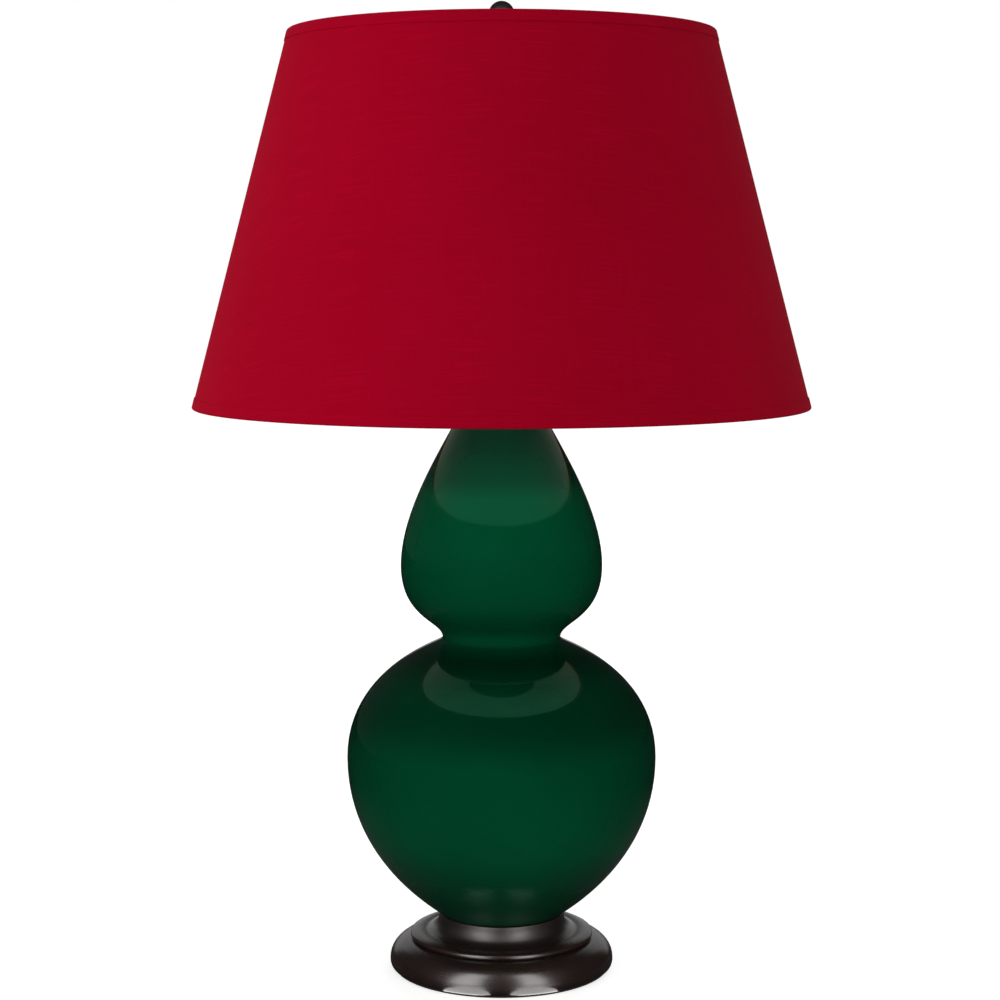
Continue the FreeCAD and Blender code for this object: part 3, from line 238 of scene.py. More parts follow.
def turn(name, start, steps, level=0.0, segments=144, detail=8):
    """Turns a piece from half of its outline, in millimetres.

    A step is a point, or two handles and a point. Each of them is a radius, and a height
    above the level.
    """
    bpy.ops.object.select_all(action="DESELECT")
    bpy.ops.curve.primitive_bezier_curve_add()
    piece = bpy.context.object
    piece.name = name
    piece.data.resolution_u = detail
    points = piece.data.splines[0].bezier_points
    points.add(len(steps) - 1)
    ends = [start] + [step if len(step) == 2 else step[2] for step in steps]
    for point, (radius, height) in zip(points, ends):
        point.handle_left_type = point.handle_right_type = "FREE"
        point.co = Vector((radius, 0, height + level)) * MM
    for before, after, step in zip(points, points[1:], steps):
        if len(step) == 2:
            before.handle_right_type = after.handle_left_type = "VECTOR"
        else:
            before.handle_right = Vector((step[0][0], 0, step[0][1] + level)) * MM
            after.handle_left = Vector((step[1][0], 0, step[1][1] + level)) * MM
    bpy.ops.object.convert(target="MESH")
    bpy.ops.object.mode_set(mode="EDIT")
    bpy.ops.mesh.select_all(action="SELECT")
    bpy.ops.mesh.spin(steps=segments, angle=math.tau, center=(0, 0, 0), axis=(0, 0, 1))
    bpy.ops.mesh.select_all(action="SELECT")
    bpy.ops.mesh.remove_doubles(threshold=0.005 * MM)
    bpy.ops.mesh.normals_make_consistent(inside=False)
    bpy.ops.object.mode_set(mode="OBJECT")
    bpy.ops.object.shade_smooth_by_angle(angle=math.radians(32))
    return bpy.context.object


def drill(piece, radius, length, place, turned):
    """Drills a round hole through a piece."""
    bpy.ops.object.select_all(action="DESELECT")
    bpy.ops.mesh.primitive_cylinder_add(
        vertices=48, radius=radius * MM, depth=length * MM,
        location=Vector(place) * MM, rotation=turned)
    drill_bit = bpy.context.object
    hole = piece.modifiers.new("hole", "BOOLEAN")
    hole.object = drill_bit
    hole.solver = "EXACT"
    bpy.context.view_layer.objects.active = piece
    piece.select_set(True)
    bpy.ops.object.modifier_apply(modifier="hole")
    bpy.data.objects.remove(drill_bit)


foot = turn("bronze_foot", (84, 2), [
    (87, 2),
    ((88.5, 2), (89.5, 4), (89.5, 7)),
    ((89.5, 18.5), (79, 24.6), (71, 24.6)),
    ((72.2, 25), (73, 26), (73, 27.4)),
    ((73, 30), (67, 30.5), (61, 30.5)),
    ((57.7, 30.5), (54.5, 32), (52.5, 35)),
    ((50.5, 38), (50, 40.3), (50, 44)),
    ((50, 44.5), (49.7, 44.8), (49.2, 44.8)),
    (47.6, 44.8), (47.6, 41), (5.25, 41), (5.25, 38), (47, 38),
    (49.5, 32), (58.9, 27.5), (68, 26.8), (68.9, 21.6),
    ((78, 21.6), (86.5, 17), (86.5, 7)),
    (84, 2),
], segments=192, detail=12)
drill(foot, radius=4.4, length=30, place=(0, 86, 10.2), turned=(math.radians(90), 0, 0))

# Bronze finish: a near-black brown lacquer over metal, satin, a little browner where the
# polishing wheel has caught the ledge and the bead. Lathe marks 0.4 mm apart run round it,
# and its patina changes every 40 mm or so.
bronze, tree, shader = new_material("dark bronze finish, lacquered", {
    "Metallic": 0.0, "Roughness": 0.22, "Specular IOR Level": 0.5})
place = add_node(tree, "ShaderNodeTexCoord")
patina = add_node(tree, "ShaderNodeTexNoise", {
    "Vector": place.outputs["Object"], "Scale": grained(38.5), "Detail": 5.0, "Roughness": 0.6})
stretched = add_node(tree, "ShaderNodeMapping", {
    "Vector": place.outputs["Object"], "Scale": (grained(16.7), grained(16.7), grained(0.385))})
lathe_marks = add_node(tree, "ShaderNodeTexNoise", {
    "Vector": stretched.outputs["Vector"], "Scale": 1.0, "Detail": 3.0})
rubbed = add_node(tree, "ShaderNodeValToRGB", {"Fac": patina.outputs["Fac"]})
rubbed.color_ramp.elements[0].position = 0.35
rubbed.color_ramp.elements[0].color = linear("1C1413")
rubbed.color_ramp.elements[1].position = 0.75
rubbed.color_ramp.elements[1].color = linear("2B1E1A")
edges = add_node(tree, "ShaderNodeNewGeometry")
worn = add_node(tree, "ShaderNodeMapRange", {
    "Value": edges.outputs["Pointiness"], "From Min": 0.50, "From Max": 0.56,
    "To Min": 0.0, "To Max": 0.5})
browner = add_node(tree, "ShaderNodeMix", {
    0: worn.outputs["Result"], 6: rubbed.outputs["Color"], 7: linear("4A3127")}, data_type="RGBA")
tree.links.new(browner.outputs[2], shader.inputs["Base Color"])
satin = add_node(tree, "ShaderNodeMapRange", {
    "Value": lathe_marks.outputs["Fac"], "To Min": 0.22, "To Max": 0.30})
# The wheel reaches the drum and the bead, but hardly the neck above them.
height = add_node(tree, "ShaderNodeSeparateXYZ", {"Vector": place.outputs["Object"]})
unpolished = add_node(tree, "ShaderNodeMapRange", {
    "Value": height.outputs["Z"], "From Min": 31 * MM, "From Max": 36 * MM,
    "To Min": 0.0, "To Max": 0.16})
dullness = add_node(tree, "ShaderNodeMath", {
    0: satin.outputs["Result"], 1: unpolished.outputs["Result"]}, operation="ADD")
tree.links.new(dullness.outputs["Value"], shader.inputs["Roughness"])
bump = add_node(tree, "ShaderNodeBump", {
    "Height": lathe_marks.outputs["Fac"], "Strength": 0.08, "Distance": 0.1 * MM})
tree.links.new(bump.outputs["Normal"], shader.inputs["Normal"])
cover(foot, bronze)
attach(foot, "root")
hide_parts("foot")

# Two tall strip lamps in front of the foot, left and right of the camera, two cards lying
# on the table before each, and a card at each side behind, for the rims. Only the bronze
# pieces mirror them, so that the glaze keeps its depth.
ON_TABLE = 0.0003
mirrored_lamps = [
    soft_lamp("left_strip", (-0.46, -0.66, 0.66), (0, 0, 0.66), 0.42, 1.3, 14.5),
    soft_lamp("right_strip", (0.42, -0.69, 0.66), (0, 0, 0.66), 0.35, 1.3, 12.0),
]
for name, x, y, azimuth, width, depth, watts in (
        ("left_card", -0.0415, -0.1110, -26, 0.040, 0.068, 0.060),
        ("left_far_card", -0.089, -0.170, -36, 0.085, 0.10, 0.15),
        ("right_card", 0.0390, -0.1118, 25, 0.040, 0.068, 0.060),
        ("right_far_card", 0.085, -0.172, 34, 0.085, 0.10, 0.15)):
    card = soft_lamp(name, (x, y, ON_TABLE), (0, 0, 1), width, depth, watts)
    card.rotation_euler = (math.pi, 0, math.radians(azimuth))
    mirrored_lamps.append(card)
for name, x in (("left_rim_card", -0.45), ("right_rim_card", 0.45)):
    mirrored_lamps.append(soft_lamp(name, (x, 1.1, 0.35), (0, 0, 0.03), 0.7, 0.7, 0.9))
bronze_pieces = bpy.data.collections.new("bronze_pieces")
for lamp in mirrored_lamps:
    lamp.visible_glossy = True
    lamp.visible_diffuse = False
    lamp.light_linking.receiver_collection = bronze_pieces
bronze_pieces.objects.link(foot)

# ----------------------------------------------------------------------- cord bushing
# A bushing moulded from black phenolic, like the socket's block, and pressed into the
# hole at the back of the foot. Its flange keeps the metal's edge off the lamp cord.

# Phenolic: black and half glossy, faintly cloudy every 6 mm where the resin flowed.
phenolic, tree, shader = new_material("black phenolic, moulded", {
    "IOR": 1.6, "Specular IOR Level": 0.5})
place = add_node(tree, "ShaderNodeTexCoord")
flow = add_node(tree, "ShaderNodeTexNoise", {
    "Vector": place.outputs["Object"], "Scale": grained(6.25), "Detail": 5.0, "Roughness": 0.65})
resin = add_node(tree, "ShaderNodeMix", {
    0: flow.outputs["Fac"], 6: linear("0E0D0C"), 7: linear("1F1C1A")}, data_type="RGBA")
tree.links.new(resin.outputs[2], shader.inputs["Base Color"])
moulded = add_node(tree, "ShaderNodeMapRange", {
    "Value": flow.outputs["Fac"], "To Min": 0.26, "To Max": 0.42})
tree.links.new(moulded.outputs["Result"], shader.inputs["Roughness"])
bump = add_node(tree, "ShaderNodeBump", {
    "Height": flow.outputs["Fac"], "Strength": 0.12, "Distance": 0.1 * MM})
tree.links.new(bump.outputs["Normal"], shader.inputs["Normal"])
for name in ("cord_bushing", "socket_block"):
    cover(nodes[name], phenolic)

# ------------------------------------------------------------------------ cork gasket
# A ring punched from agglomerated cork sheet, between the foot's plate and the clay. The
# granules are 1 to 3 mm, in a darker binder.

# Cut cork: matt and mottled in warm browns, one tone to a granule.
cork, tree, shader = new_material("agglomerated cork, punched", {
    "Roughness": 0.9, "Specular IOR Level": 0.2})
place = add_node(tree, "ShaderNodeTexCoord")
granules = add_node(tree, "ShaderNodeTexVoronoi", {
    "Vector": place.outputs["Object"], "Scale": grained(2)})
grain = add_node(tree, "ShaderNodeSeparateColor", {"Color": granules.outputs["Color"]})
bark = add_node(tree, "ShaderNodeMix", {
    0: grain.outputs["Red"], 6: linear("7A5636"), 7: linear("B98E5F")}, data_type="RGBA")
binder = add_node(tree, "ShaderNodeMapRange", {
    "Value": granules.outputs["Distance"], "From Min": 0.45, "From Max": 0.65})
bound = add_node(tree, "ShaderNodeMix", {
    0: binder.outputs["Result"], 6: bark.outputs[2], 7: linear("3B2817")}, data_type="RGBA")
tree.links.new(bound.outputs[2], shader.inputs["Base Color"])
bump = add_node(tree, "ShaderNodeBump", {
    "Height": granules.outputs["Distance"], "Strength": 0.4, "Distance": 0.3 * MM})
tree.links.new(bump.outputs["Normal"], shader.inputs["Normal"])
cover(nodes["cork_gasket"], cork)

# ------------------------------------------------------------------------ gourd body
# Slip-cast stoneware in one piece: a wide lobe, a tight waist and a smaller lobe. It is
# dipped in a deep emerald glaze, with painted light and shade on it.

gourd = turn("gourd_glazed", (14, 0), [
    (47.2, 0), (47.2, 2.9), (48.6, 3),
    ((70, 18), (123, 57), (123, 129.6)),
    ((123, 200.4), (46.7, 221.9), (46.7, 224.8)),
    ((46.7, 240.1), (79.8, 240.3), (79.8, 283.1)),
    ((79.8, 339.5), (23, 409.5), (23, 428)),
    (17, 428),
    ((17, 409.5), (73.8, 335.5), (73.8, 283.1)),
    ((73.8, 244.3), (40.7, 244.1), (40.7, 229.8)),
    (40.7, 219.8),
    ((40.7, 215.8), (117, 194.4), (117, 129.6)),
    ((117, 61), (59.3, 18), (40.6, 6)),
    (14, 6), (14, 0),
], level=42, segments=224, detail=26)

# Fired glaze: a deep green under a glassy skin that ripples a little every 26 mm. Its tone
# drifts over 110 mm, and tiny darker specks lie 5 mm apart.
glaze, tree, shader = new_material("emerald stoneware glaze, fired gloss", {
    "IOR": 1.5, "Specular IOR Level": 0.5, "Specular Tint": linear("65E0B6")})
place = add_node(tree, "ShaderNodeTexCoord")
height = add_node(tree, "ShaderNodeSeparateXYZ", {"Vector": place.outputs["Object"]})
cloud = add_node(tree, "ShaderNodeTexNoise", {
    "Vector": place.outputs["Object"], "Scale": grained(111), "Detail": 4.0, "Roughness": 0.55})
pooled = add_node(tree, "ShaderNodeValToRGB", {"Fac": cloud.outputs["Fac"]})
pooled.color_ramp.elements[0].position = 0.30
pooled.color_ramp.elements[0].color = linear("013A22")
pooled.color_ramp.elements[1].position = 0.72
pooled.color_ramp.elements[1].color = linear("014127")
specks = add_node(tree, "ShaderNodeTexVoronoi", {
    "Vector": place.outputs["Object"], "Scale": grained(4.76)})
speck = add_node(tree, "ShaderNodeMapRange", {
    "Value": specks.outputs["Distance"], "From Min": 0.05, "From Max": 0.10,
    "To Min": 0.25, "To Max": 0.0})
speckled = add_node(tree, "ShaderNodeMix", {
    0: speck.outputs["Result"], 6: pooled.outputs["Color"], 7: linear("01331E")}, data_type="RGBA")
# It is glossy, but for a matt band where it was wiped off above the foot.
wiped = add_node(tree, "ShaderNodeMapRange", {
    "Value": height.outputs["Z"], "From Min": 60 * MM, "From Max": 112 * MM,
    "To Min": 0.45, "To Max": 0.05})
tree.links.new(wiped.outputs["Result"], shader.inputs["Roughness"])
# The glaze is darker in painted shade near the foot, on the top of the wide lobe under
# the small one, and on the top of the small lobe under the shade. It is lighter at the
# waist and in a painted reflection of the shade's inside on the small lobe. Each stop is
# a place between 42 and 470 mm, and how bright the painted light makes the glaze there.
level = add_node(tree, "ShaderNodeMapRange", {
    "Value": height.outputs["Z"], "From Min": 42 * MM, "From Max": 470 * MM})
depth = add_node(tree, "ShaderNodeValToRGB", {"Fac": level.outputs["Result"]})
depth.color_ramp.interpolation = "CARDINAL"
for position, painted_light in (
        (0.08, 0.62), (0.13, 0.72), (0.17, 0.90), (0.29, 0.84), (0.34, 0.74), (0.39, 0.46),
        (0.46, 0.44), (0.485, 0.31), (0.508, 0.32), (0.538, 0.95), (0.566, 0.80), (0.61, 0.87),
        (0.70, 0.98), (0.755, 1.22), (0.785, 1.18), (0.82, 0.62), (0.86, 0.40), (0.91, 0.18)):
    stop = depth.color_ramp.elements.new(position)
    stop.color = (painted_light, painted_light, painted_light, 1)
depth.color_ramp.elements.remove(depth.color_ramp.elements[-1])
depth.color_ramp.elements.remove(depth.color_ramp.elements[0])
# The glaze's own colour, multiplied by the painted light and shade.
glazed = add_node(tree, "ShaderNodeMix", {
    0: 1.0, 6: speckled.outputs[2], 7: depth.outputs["Color"]},
    data_type="RGBA", blend_type="MULTIPLY")
tree.links.new(glazed.outputs[2], shader.inputs["Base Color"])
ripple = add_node(tree, "ShaderNodeTexNoise", {
    "Vector": place.outputs["Object"], "Scale": grained(26.3), "Detail": 2.0, "Roughness": 0.4})
bump = add_node(tree, "ShaderNodeBump", {
    "Height": ripple.outputs["Fac"], "Strength": 0.10, "Distance": 0.6 * MM})
tree.links.new(bump.outputs["Normal"], shader.inputs["Normal"])
cover(gourd, glaze)
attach(gourd, "root")
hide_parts("gourd_body")

# The deep glaze takes its light from a softbox beside the camera, so that it is lightest
# in front, and not from the two that stand wide.
glazed_pieces = bpy.data.collections.new("glazed_pieces")
glazed_pieces.objects.link(gourd)
front_lamp = soft_lamp("front_softbox", (-0.37, -2.6, 0.6), (0, 0, 0.3), 1.2, 1.2, 53)
front_lamp.light_linking.receiver_collection = glazed_pieces
not_glazed = bpy.data.collections.new("not_the_glaze")
not_glazed.objects.link(gourd)
not_glazed.collection_objects[0].light_linking.link_state = "EXCLUDE"
for lamp in wide_lamps:
    lamp.light_linking.receiver_collection = not_glazed

# ------------------------------------------------------------------ rod and washers
# A threaded steel pipe through the whole body, zinc-plated. It draws foot, gourd, cap
# and socket together. A toothed and a wide steel washer lie under the foot's plate.

# Zinc plate: a cold grey metal, dull, and blotched every 4 mm like frost.
zinc, tree, shader = new_material("zinc-plated steel", {"Metallic": 1.0})
place = add_node(tree, "ShaderNodeTexCoord")
spangle = add_node(tree, "ShaderNodeTexNoise", {
    "Vector": place.outputs["Object"], "Scale": grained(4.17), "Detail": 4.0, "Roughness": 0.6})
plated = add_node(tree, "ShaderNodeMix", {
    0: spangle.outputs["Fac"], 6: linear("A9ACAE"), 7: linear("C9CBC8")}, data_type="RGBA")
tree.links.new(plated.outputs[2], shader.inputs["Base Color"])
dull = add_node(tree, "ShaderNodeMapRange", {
    "Value": spangle.outputs["Fac"], "To Min": 0.28, "To Max": 0.46})
tree.links.new(dull.outputs["Result"], shader.inputs["Roughness"])
for name in ("wide_washer", "toothed_washer", "terminal_screw_left", "bulb_contact"):
    cover(nodes[name], zinc)


def wave_scale(pitch):
    """The scale of a wave texture whose waves are this many millimetres apart."""
    return math.tau / (20 * pitch * MM)


# The rod's rolled thread has a pitch of about 1 mm. It shows above the nut only.
rod_zinc = zinc.copy()
rod_zinc.name = "zinc-plated steel, rolled thread"
tree = rod_zinc.node_tree
shader = tree.nodes["Principled BSDF"]
place = add_node(tree, "ShaderNodeTexCoord")
thread = add_node(tree, "ShaderNodeTexWave", {
    "Vector": place.outputs["Object"], "Scale": wave_scale(pitch=1.0)}, bands_direction="Z")
bump = add_node(tree, "ShaderNodeBump", {
    "Height": thread.outputs["Fac"], "Strength": 0.9, "Distance": 0.5 * MM})
tree.links.new(bump.outputs["Normal"], shader.inputs["Normal"])
cover(nodes["threaded_rod"], rod_zinc)

# ------------------------------------------------------------------------------ nut
# A hexagon nut of zinc-plated steel, its corners chamfered on the upper and the lower
# face. It screws up the rod against the washers and holds the lamp together.

NUT_LEVEL = 33.05
CHAMFER_SHIFT = 1.85
bpy.ops.object.select_all(action="DESELECT")
bpy.ops.mesh.primitive_cylinder_add(vertices=6, radius=8.4 * MM, depth=4.5 * MM,
                                    location=(0, 0, NUT_LEVEL * MM),
                                    rotation=(0, 0, math.radians(30)))
nut = bpy.context.object
nut.name = "hexagon_nut"
bpy.ops.object.transform_apply()
bpy.ops.object.select_all(action="DESELECT")
bpy.ops.mesh.primitive_cone_add(vertices=72, radius1=12.3 * MM, radius2=5.1 * MM,
                                depth=7.2 * MM)
chamfer = bpy.context.object
for way in (1, -1):
    chamfer.rotation_euler = (0 if way > 0 else math.pi, 0, 0)
    chamfer.location = (0, 0, (NUT_LEVEL + way * CHAMFER_SHIFT) * MM)
    shaped = nut.modifiers.new("chamfer", "BOOLEAN")
    shaped.operation = "INTERSECT"
    shaped.object = chamfer
    shaped.solver = "EXACT"
    bpy.context.view_layer.objects.active = nut
    bpy.ops.object.modifier_apply(modifier="chamfer")
bpy.data.objects.remove(chamfer)
drill(nut, radius=5.0, length=12, place=(0, 0, NUT_LEVEL), turned=(0, 0, 0))
cover(nut, zinc)
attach(nut, "root")
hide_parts("base_nut")

# --------------------------------------------------------------- mouth cap and spacer
# A spun cap over the gourd's mouth, and a turned spacer on it, both in the foot's dark
# bronze finish. They lift the harp's saddle clear of the glaze.

for name in ("mouth_cap", "neck_spacer"):
    cover(nodes[name], bronze)
    bronze_pieces.objects.link(nodes[name])

# --------------------------------------------------------------------- saddle and harp
# The saddle is a stamped brass strip under the socket. The harp is one wire, bent into a
# bow, whose legs stand in the saddle's tabs. Its crimped block carries a threaded stud.

# Brass gone brown under its lacquer: a dull gold in clouds of 18 mm with darker spots of
# 3 mm, satin where it is clean.
brass, tree, shader = new_material("aged brass, lacquered", {"Metallic": 1.0})
place = add_node(tree, "ShaderNodeTexCoord")
tarnish = add_node(tree, "ShaderNodeTexNoise", {
    "Vector": place.outputs["Object"], "Scale": grained(18.2), "Detail": 6.0, "Roughness": 0.65})
spots = add_node(tree, "ShaderNodeTexNoise", {
    "Vector": place.outputs["Object"], "Scale": grained(3.125), "Detail": 3.0, "Roughness": 0.5})
browned = add_node(tree, "ShaderNodeValToRGB", {"Fac": tarnish.outputs["Fac"]})
browned.color_ramp.elements[0].position = 0.32
browned.color_ramp.elements[0].color = linear("7E6030")
browned.color_ramp.elements[1].position = 0.70
browned.color_ramp.elements[1].color = linear("B99650")
spotted = add_node(tree, "ShaderNodeMapRange", {
    "Value": spots.outputs["Fac"], "From Min": 0.62, "From Max": 0.72,
    "To Min": 0.0, "To Max": 0.45})
old_brass = add_node(tree, "ShaderNodeMix", {
    0: spotted.outputs["Result"], 6: browned.outputs["Color"], 7: linear("5B4422")},
    data_type="RGBA")
tree.links.new(old_brass.outputs[2], shader.inputs["Base Color"])
worn_satin = add_node(tree, "ShaderNodeMapRange", {
    "Value": tarnish.outputs["Fac"], "To Min": 0.24, "To Max": 0.44})
tree.links.new(worn_satin.outputs["Result"], shader.inputs["Roughness"])
bump = add_node(tree, "ShaderNodeBump", {
    "Height": spots.outputs["Fac"], "Strength": 0.06, "Distance": 0.1 * MM})
tree.links.new(bump.outputs["Normal"], shader.inputs["Normal"])
for name in ("harp_saddle", "harp_wire_bow", "shade_stud", "harp_sleeve_right", "harp_sleeve_left",
             "socket_cap", "socket_shell", "terminal_screw_right", "spring_contact"):
    cover(nodes[name], brass)

# --------------------------------------------------------------------- harp's block
# A small block of cast brass with rounded edges. It is crimped onto the top of the wire
# from both sides, and the stud that carries the shade is screwed into it.

BLOCK_LEVEL = 724.5
bpy.ops.object.select_all(action="DESELECT")
bpy.ops.mesh.primitive_cube_add(size=1, location=(0, 0, BLOCK_LEVEL * MM),
                                scale=(13 * MM, 10 * MM, 6.8 * MM))
block = bpy.context.object
block.name = "crimped_block"
bpy.ops.object.transform_apply()
bpy.ops.object.mode_set(mode="EDIT")
bpy.ops.mesh.select_all(action="DESELECT")
bpy.ops.object.mode_set(mode="OBJECT")
for face in block.data.polygons:
    face.select = abs(face.normal.y) > 0.9
bpy.ops.object.mode_set(mode="EDIT")
bpy.ops.mesh.select_mode(type="FACE")
bpy.ops.mesh.inset(thickness=2.2 * MM, use_individual=True)
bpy.ops.transform.resize(value=(0.8, 0.94, 0.7), center_override=(0, 0, BLOCK_LEVEL * MM))
bpy.ops.object.mode_set(mode="OBJECT")
rounding = block.modifiers.new("cast_edges", "BEVEL")
rounding.width = 0.7 * MM
rounding.segments = 4
rounding.limit_method = "ANGLE"
rounding.angle_limit = math.radians(20)
bpy.ops.object.modifier_apply(modifier="cast_edges")
drill(block, radius=1.65, length=20, place=(0, 0, BLOCK_LEVEL),
      turned=(0, math.radians(90), 0))
bpy.ops.object.shade_smooth_by_angle(angle=math.radians(35))
cover(block, brass)
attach(block, "harp")
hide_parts("harp_clamp_block")

# ----------------------------------------------------------------------------- socket
# A two-part brass socket: a drawn cap on the rod and a shell snapped into it, lined with
# fibre board. The moulded block in it holds the switch, two terminals and the thread
# that takes the bulb.

# Pressed fibre: a matt brown board with a speckle of pulp, 2 to 3 mm across.
fibre, tree, shader = new_material("vulcanised fibre board, pressed", {
    "Roughness": 0.8, "Specular IOR Level": 0.25})
place = add_node(tree, "ShaderNodeTexCoord")
pulp = add_node(tree, "ShaderNodeTexNoise", {
    "Vector": place.outputs["Object"], "Scale": grained(2.38), "Detail": 5.0, "Roughness": 0.7})
board = add_node(tree, "ShaderNodeMix", {
    0: pulp.outputs["Fac"], 6: linear("8A7354"), 7: linear("B8A27C")}, data_type="RGBA")
tree.links.new(board.outputs[2], shader.inputs["Base Color"])
bump = add_node(tree, "ShaderNodeBump", {
    "Height": pulp.outputs["Fac"], "Strength": 0.2, "Distance": 0.1 * MM})
tree.links.new(bump.outputs["Normal"], shader.inputs["Normal"])
cover(nodes["socket_liner"], fibre)

# Nickel over drawn brass: a warm grey metal, smudged by handling every 8 mm.
drawn, tree, shader = new_material("nickel-plated brass shell, rolled thread", {"Metallic": 1.0})
place = add_node(tree, "ShaderNodeTexCoord")
handled = add_node(tree, "ShaderNodeTexNoise", {
    "Vector": place.outputs["Object"], "Scale": grained(7.69), "Detail": 5.0, "Roughness": 0.6})
nickel = add_node(tree, "ShaderNodeMix", {
    0: handled.outputs["Fac"], 6: linear("9E978A"), 7: linear("CFC9BC")}, data_type="RGBA")
tree.links.new(nickel.outputs[2], shader.inputs["Base Color"])
smudged = add_node(tree, "ShaderNodeMapRange", {
    "Value": handled.outputs["Fac"], "To Min": 0.16, "To Max": 0.36})
tree.links.new(smudged.outputs["Result"], shader.inputs["Roughness"])
# The socket's thread is a rolled wave with a pitch of 3.6 mm, like the bulb's.
thread = add_node(tree, "ShaderNodeTexWave", {
    "Vector": place.outputs["Object"], "Scale": wave_scale(pitch=3.6)}, bands_direction="Z")
bump = add_node(tree, "ShaderNodeBump", {
    "Height": thread.outputs["Fac"], "Strength": 0.5, "Distance": 0.7 * MM})
tree.links.new(bump.outputs["Normal"], shader.inputs["Normal"])
cover(nodes["screw_shell"], drawn)

# ----------------------------------------------------------------------------- switch
# A turned brass shaft through the shell and a black moulded knob, fluted for the
# fingers, pressed on it. It points to the front under the shade.

cover(nodes["switch_knob"], phenolic)
cover(nodes["switch_shaft"], brass)

# ------------------------------------------------------------------------------- bulb
# A round lamp bulb of soft-white glass on a nickel-plated screw base, with a white
# ceramic insulator and a soldered contact. It screws into the socket.

base_metal = drawn.copy()
base_metal.name = "nickel-plated bulb base"
cover(nodes["bulb_base"], base_metal)

# Steatite: a hard off-white ceramic, softly shiny under its glaze, with specks of 3 mm.
steatite, tree, shader = new_material("white steatite, glazed", {
    "Roughness": 0.3, "Specular IOR Level": 0.5})
place = add_node(tree, "ShaderNodeTexCoord")
cloud = add_node(tree, "ShaderNodeTexNoise", {
    "Vector": place.outputs["Object"], "Scale": grained(3.33), "Detail": 4.0})
ceramic = add_node(tree, "ShaderNodeMix", {
    0: cloud.outputs["Fac"], 6: linear("CFCAC0"), 7: linear("E4E0D7")}, data_type="RGBA")
tree.links.new(ceramic.outputs[2], shader.inputs["Base Color"])
cover(nodes["bulb_insulator"], steatite)

# Blown glass, coated inside: it hides what is in it and looks a smooth, shiny milky white
# that varies a little every 29 mm.
soft_white, tree, shader = new_material("soft-white glass, blown and coated inside", {
    "Roughness": 0.12, "IOR": 1.5, "Specular IOR Level": 0.5,
    "Coat Weight": 0.3, "Coat Roughness": 0.05})
place = add_node(tree, "ShaderNodeTexCoord")
coating = add_node(tree, "ShaderNodeTexNoise", {
    "Vector": place.outputs["Object"], "Scale": grained(28.6), "Detail": 3.0})
height = add_node(tree, "ShaderNodeSeparateXYZ", {"Vector": place.outputs["Object"]})
# The white coating thins towards the neck, where the glass looks a little greyer.
neck = add_node(tree, "ShaderNodeMapRange", {
    "Value": height.outputs["Z"], "From Min": 568 * MM, "From Max": 590 * MM})
coated = add_node(tree, "ShaderNodeMix", {
    0: neck.outputs["Result"], 6: linear("C3C0B8"), 7: linear("EDEAE3")}, data_type="RGBA")
milky = add_node(tree, "ShaderNodeMix", {
    0: coating.outputs["Fac"], 6: coated.outputs[2], 7: linear("E6E2D9")}, data_type="RGBA")
tree.links.new(milky.outputs[2], shader.inputs["Base Color"])
cover(nodes["bulb_glass"], soft_white)

# ------------------------------------------------------------------- rings and spider
# Steel wire rings inside both edges of the shade, and a spider of three wires welded to
# the top ring and to a flat washer, which drops over the harp's stud.

# Brass plate on drawn wire: pale gold and satin, scuffed every 6 mm.
wire, tree, shader = new_material("brass-plated steel wire, drawn", {"Metallic": 1.0})
place = add_node(tree, "ShaderNodeTexCoord")
scuffs = add_node(tree, "ShaderNodeTexNoise", {
    "Vector": place.outputs["Object"], "Scale": grained(5.56), "Detail": 5.0, "Roughness": 0.65})
plating = add_node(tree, "ShaderNodeMix", {
    0: scuffs.outputs["Fac"], 6: linear("9C8046"), 7: linear("D0B273")}, data_type="RGBA")
tree.links.new(plating.outputs[2], shader.inputs["Base Color"])
scuffed = add_node(tree, "ShaderNodeMapRange", {
    "Value": scuffs.outputs["Fac"], "To Min": 0.20, "To Max": 0.38})
tree.links.new(scuffed.outputs["Result"], shader.inputs["Roughness"])
for name in ("shade_spider", "shade_top_ring", "shade_bottom_ring"):
    cover(nodes[name], wire)

# --------------------------------------------------------------------- shade's cover
# Plain-woven cotton, laminated to a stiff backing while both are flat and then rolled
# into a cone. Its threads run straight in the flat cut, and it laps over at the back.

SHADE_FLOOR = 451.2
SHADE_HEIGHT = 289.0
SHADE_LOW = 241.3
SHADE_HIGH = 165.1
CLOTH_THICKNESS = 0.8
CUT_MIDDLE = 800
slant = math.hypot(SHADE_HEIGHT, SHADE_LOW - SHADE_HIGH)
cone_sine = (SHADE_LOW - SHADE_HIGH) / slant


def cone_radius(inset, height):
    """Radius of the shade this far inside its cover, at this height above its bottom."""
    return SHADE_LOW - inset - (SHADE_LOW - SHADE_HIGH) / SHADE_HEIGHT * height


def on_cone(inset, height):
    """A point of an outline, this far inside the cover and this high above its bottom."""
    return cone_radius(inset, height), height


def lay_cut(piece):
    """Gives each face its place on the flat cut of the cloth, in metres from its middle."""
    layer = piece.data.uv_layers.new(name="flat_cut")
    for polygon in piece.data.polygons:
        middle = math.atan2(polygon.center.x, -polygon.center.y)
        for loop in polygon.loop_indices:
            point = piece.data.vertices[piece.data.loops[loop].vertex_index].co
            turned = math.atan2(point.x, -point.y)
            turned += math.tau * round((middle - turned) / math.tau)
            away = math.hypot(point.x, point.y) / cone_sine
            flat = turned * cone_sine
            layer.data[loop].uv = (away * math.sin(flat),
                                   CUT_MIDDLE * MM - away * math.cos(flat))


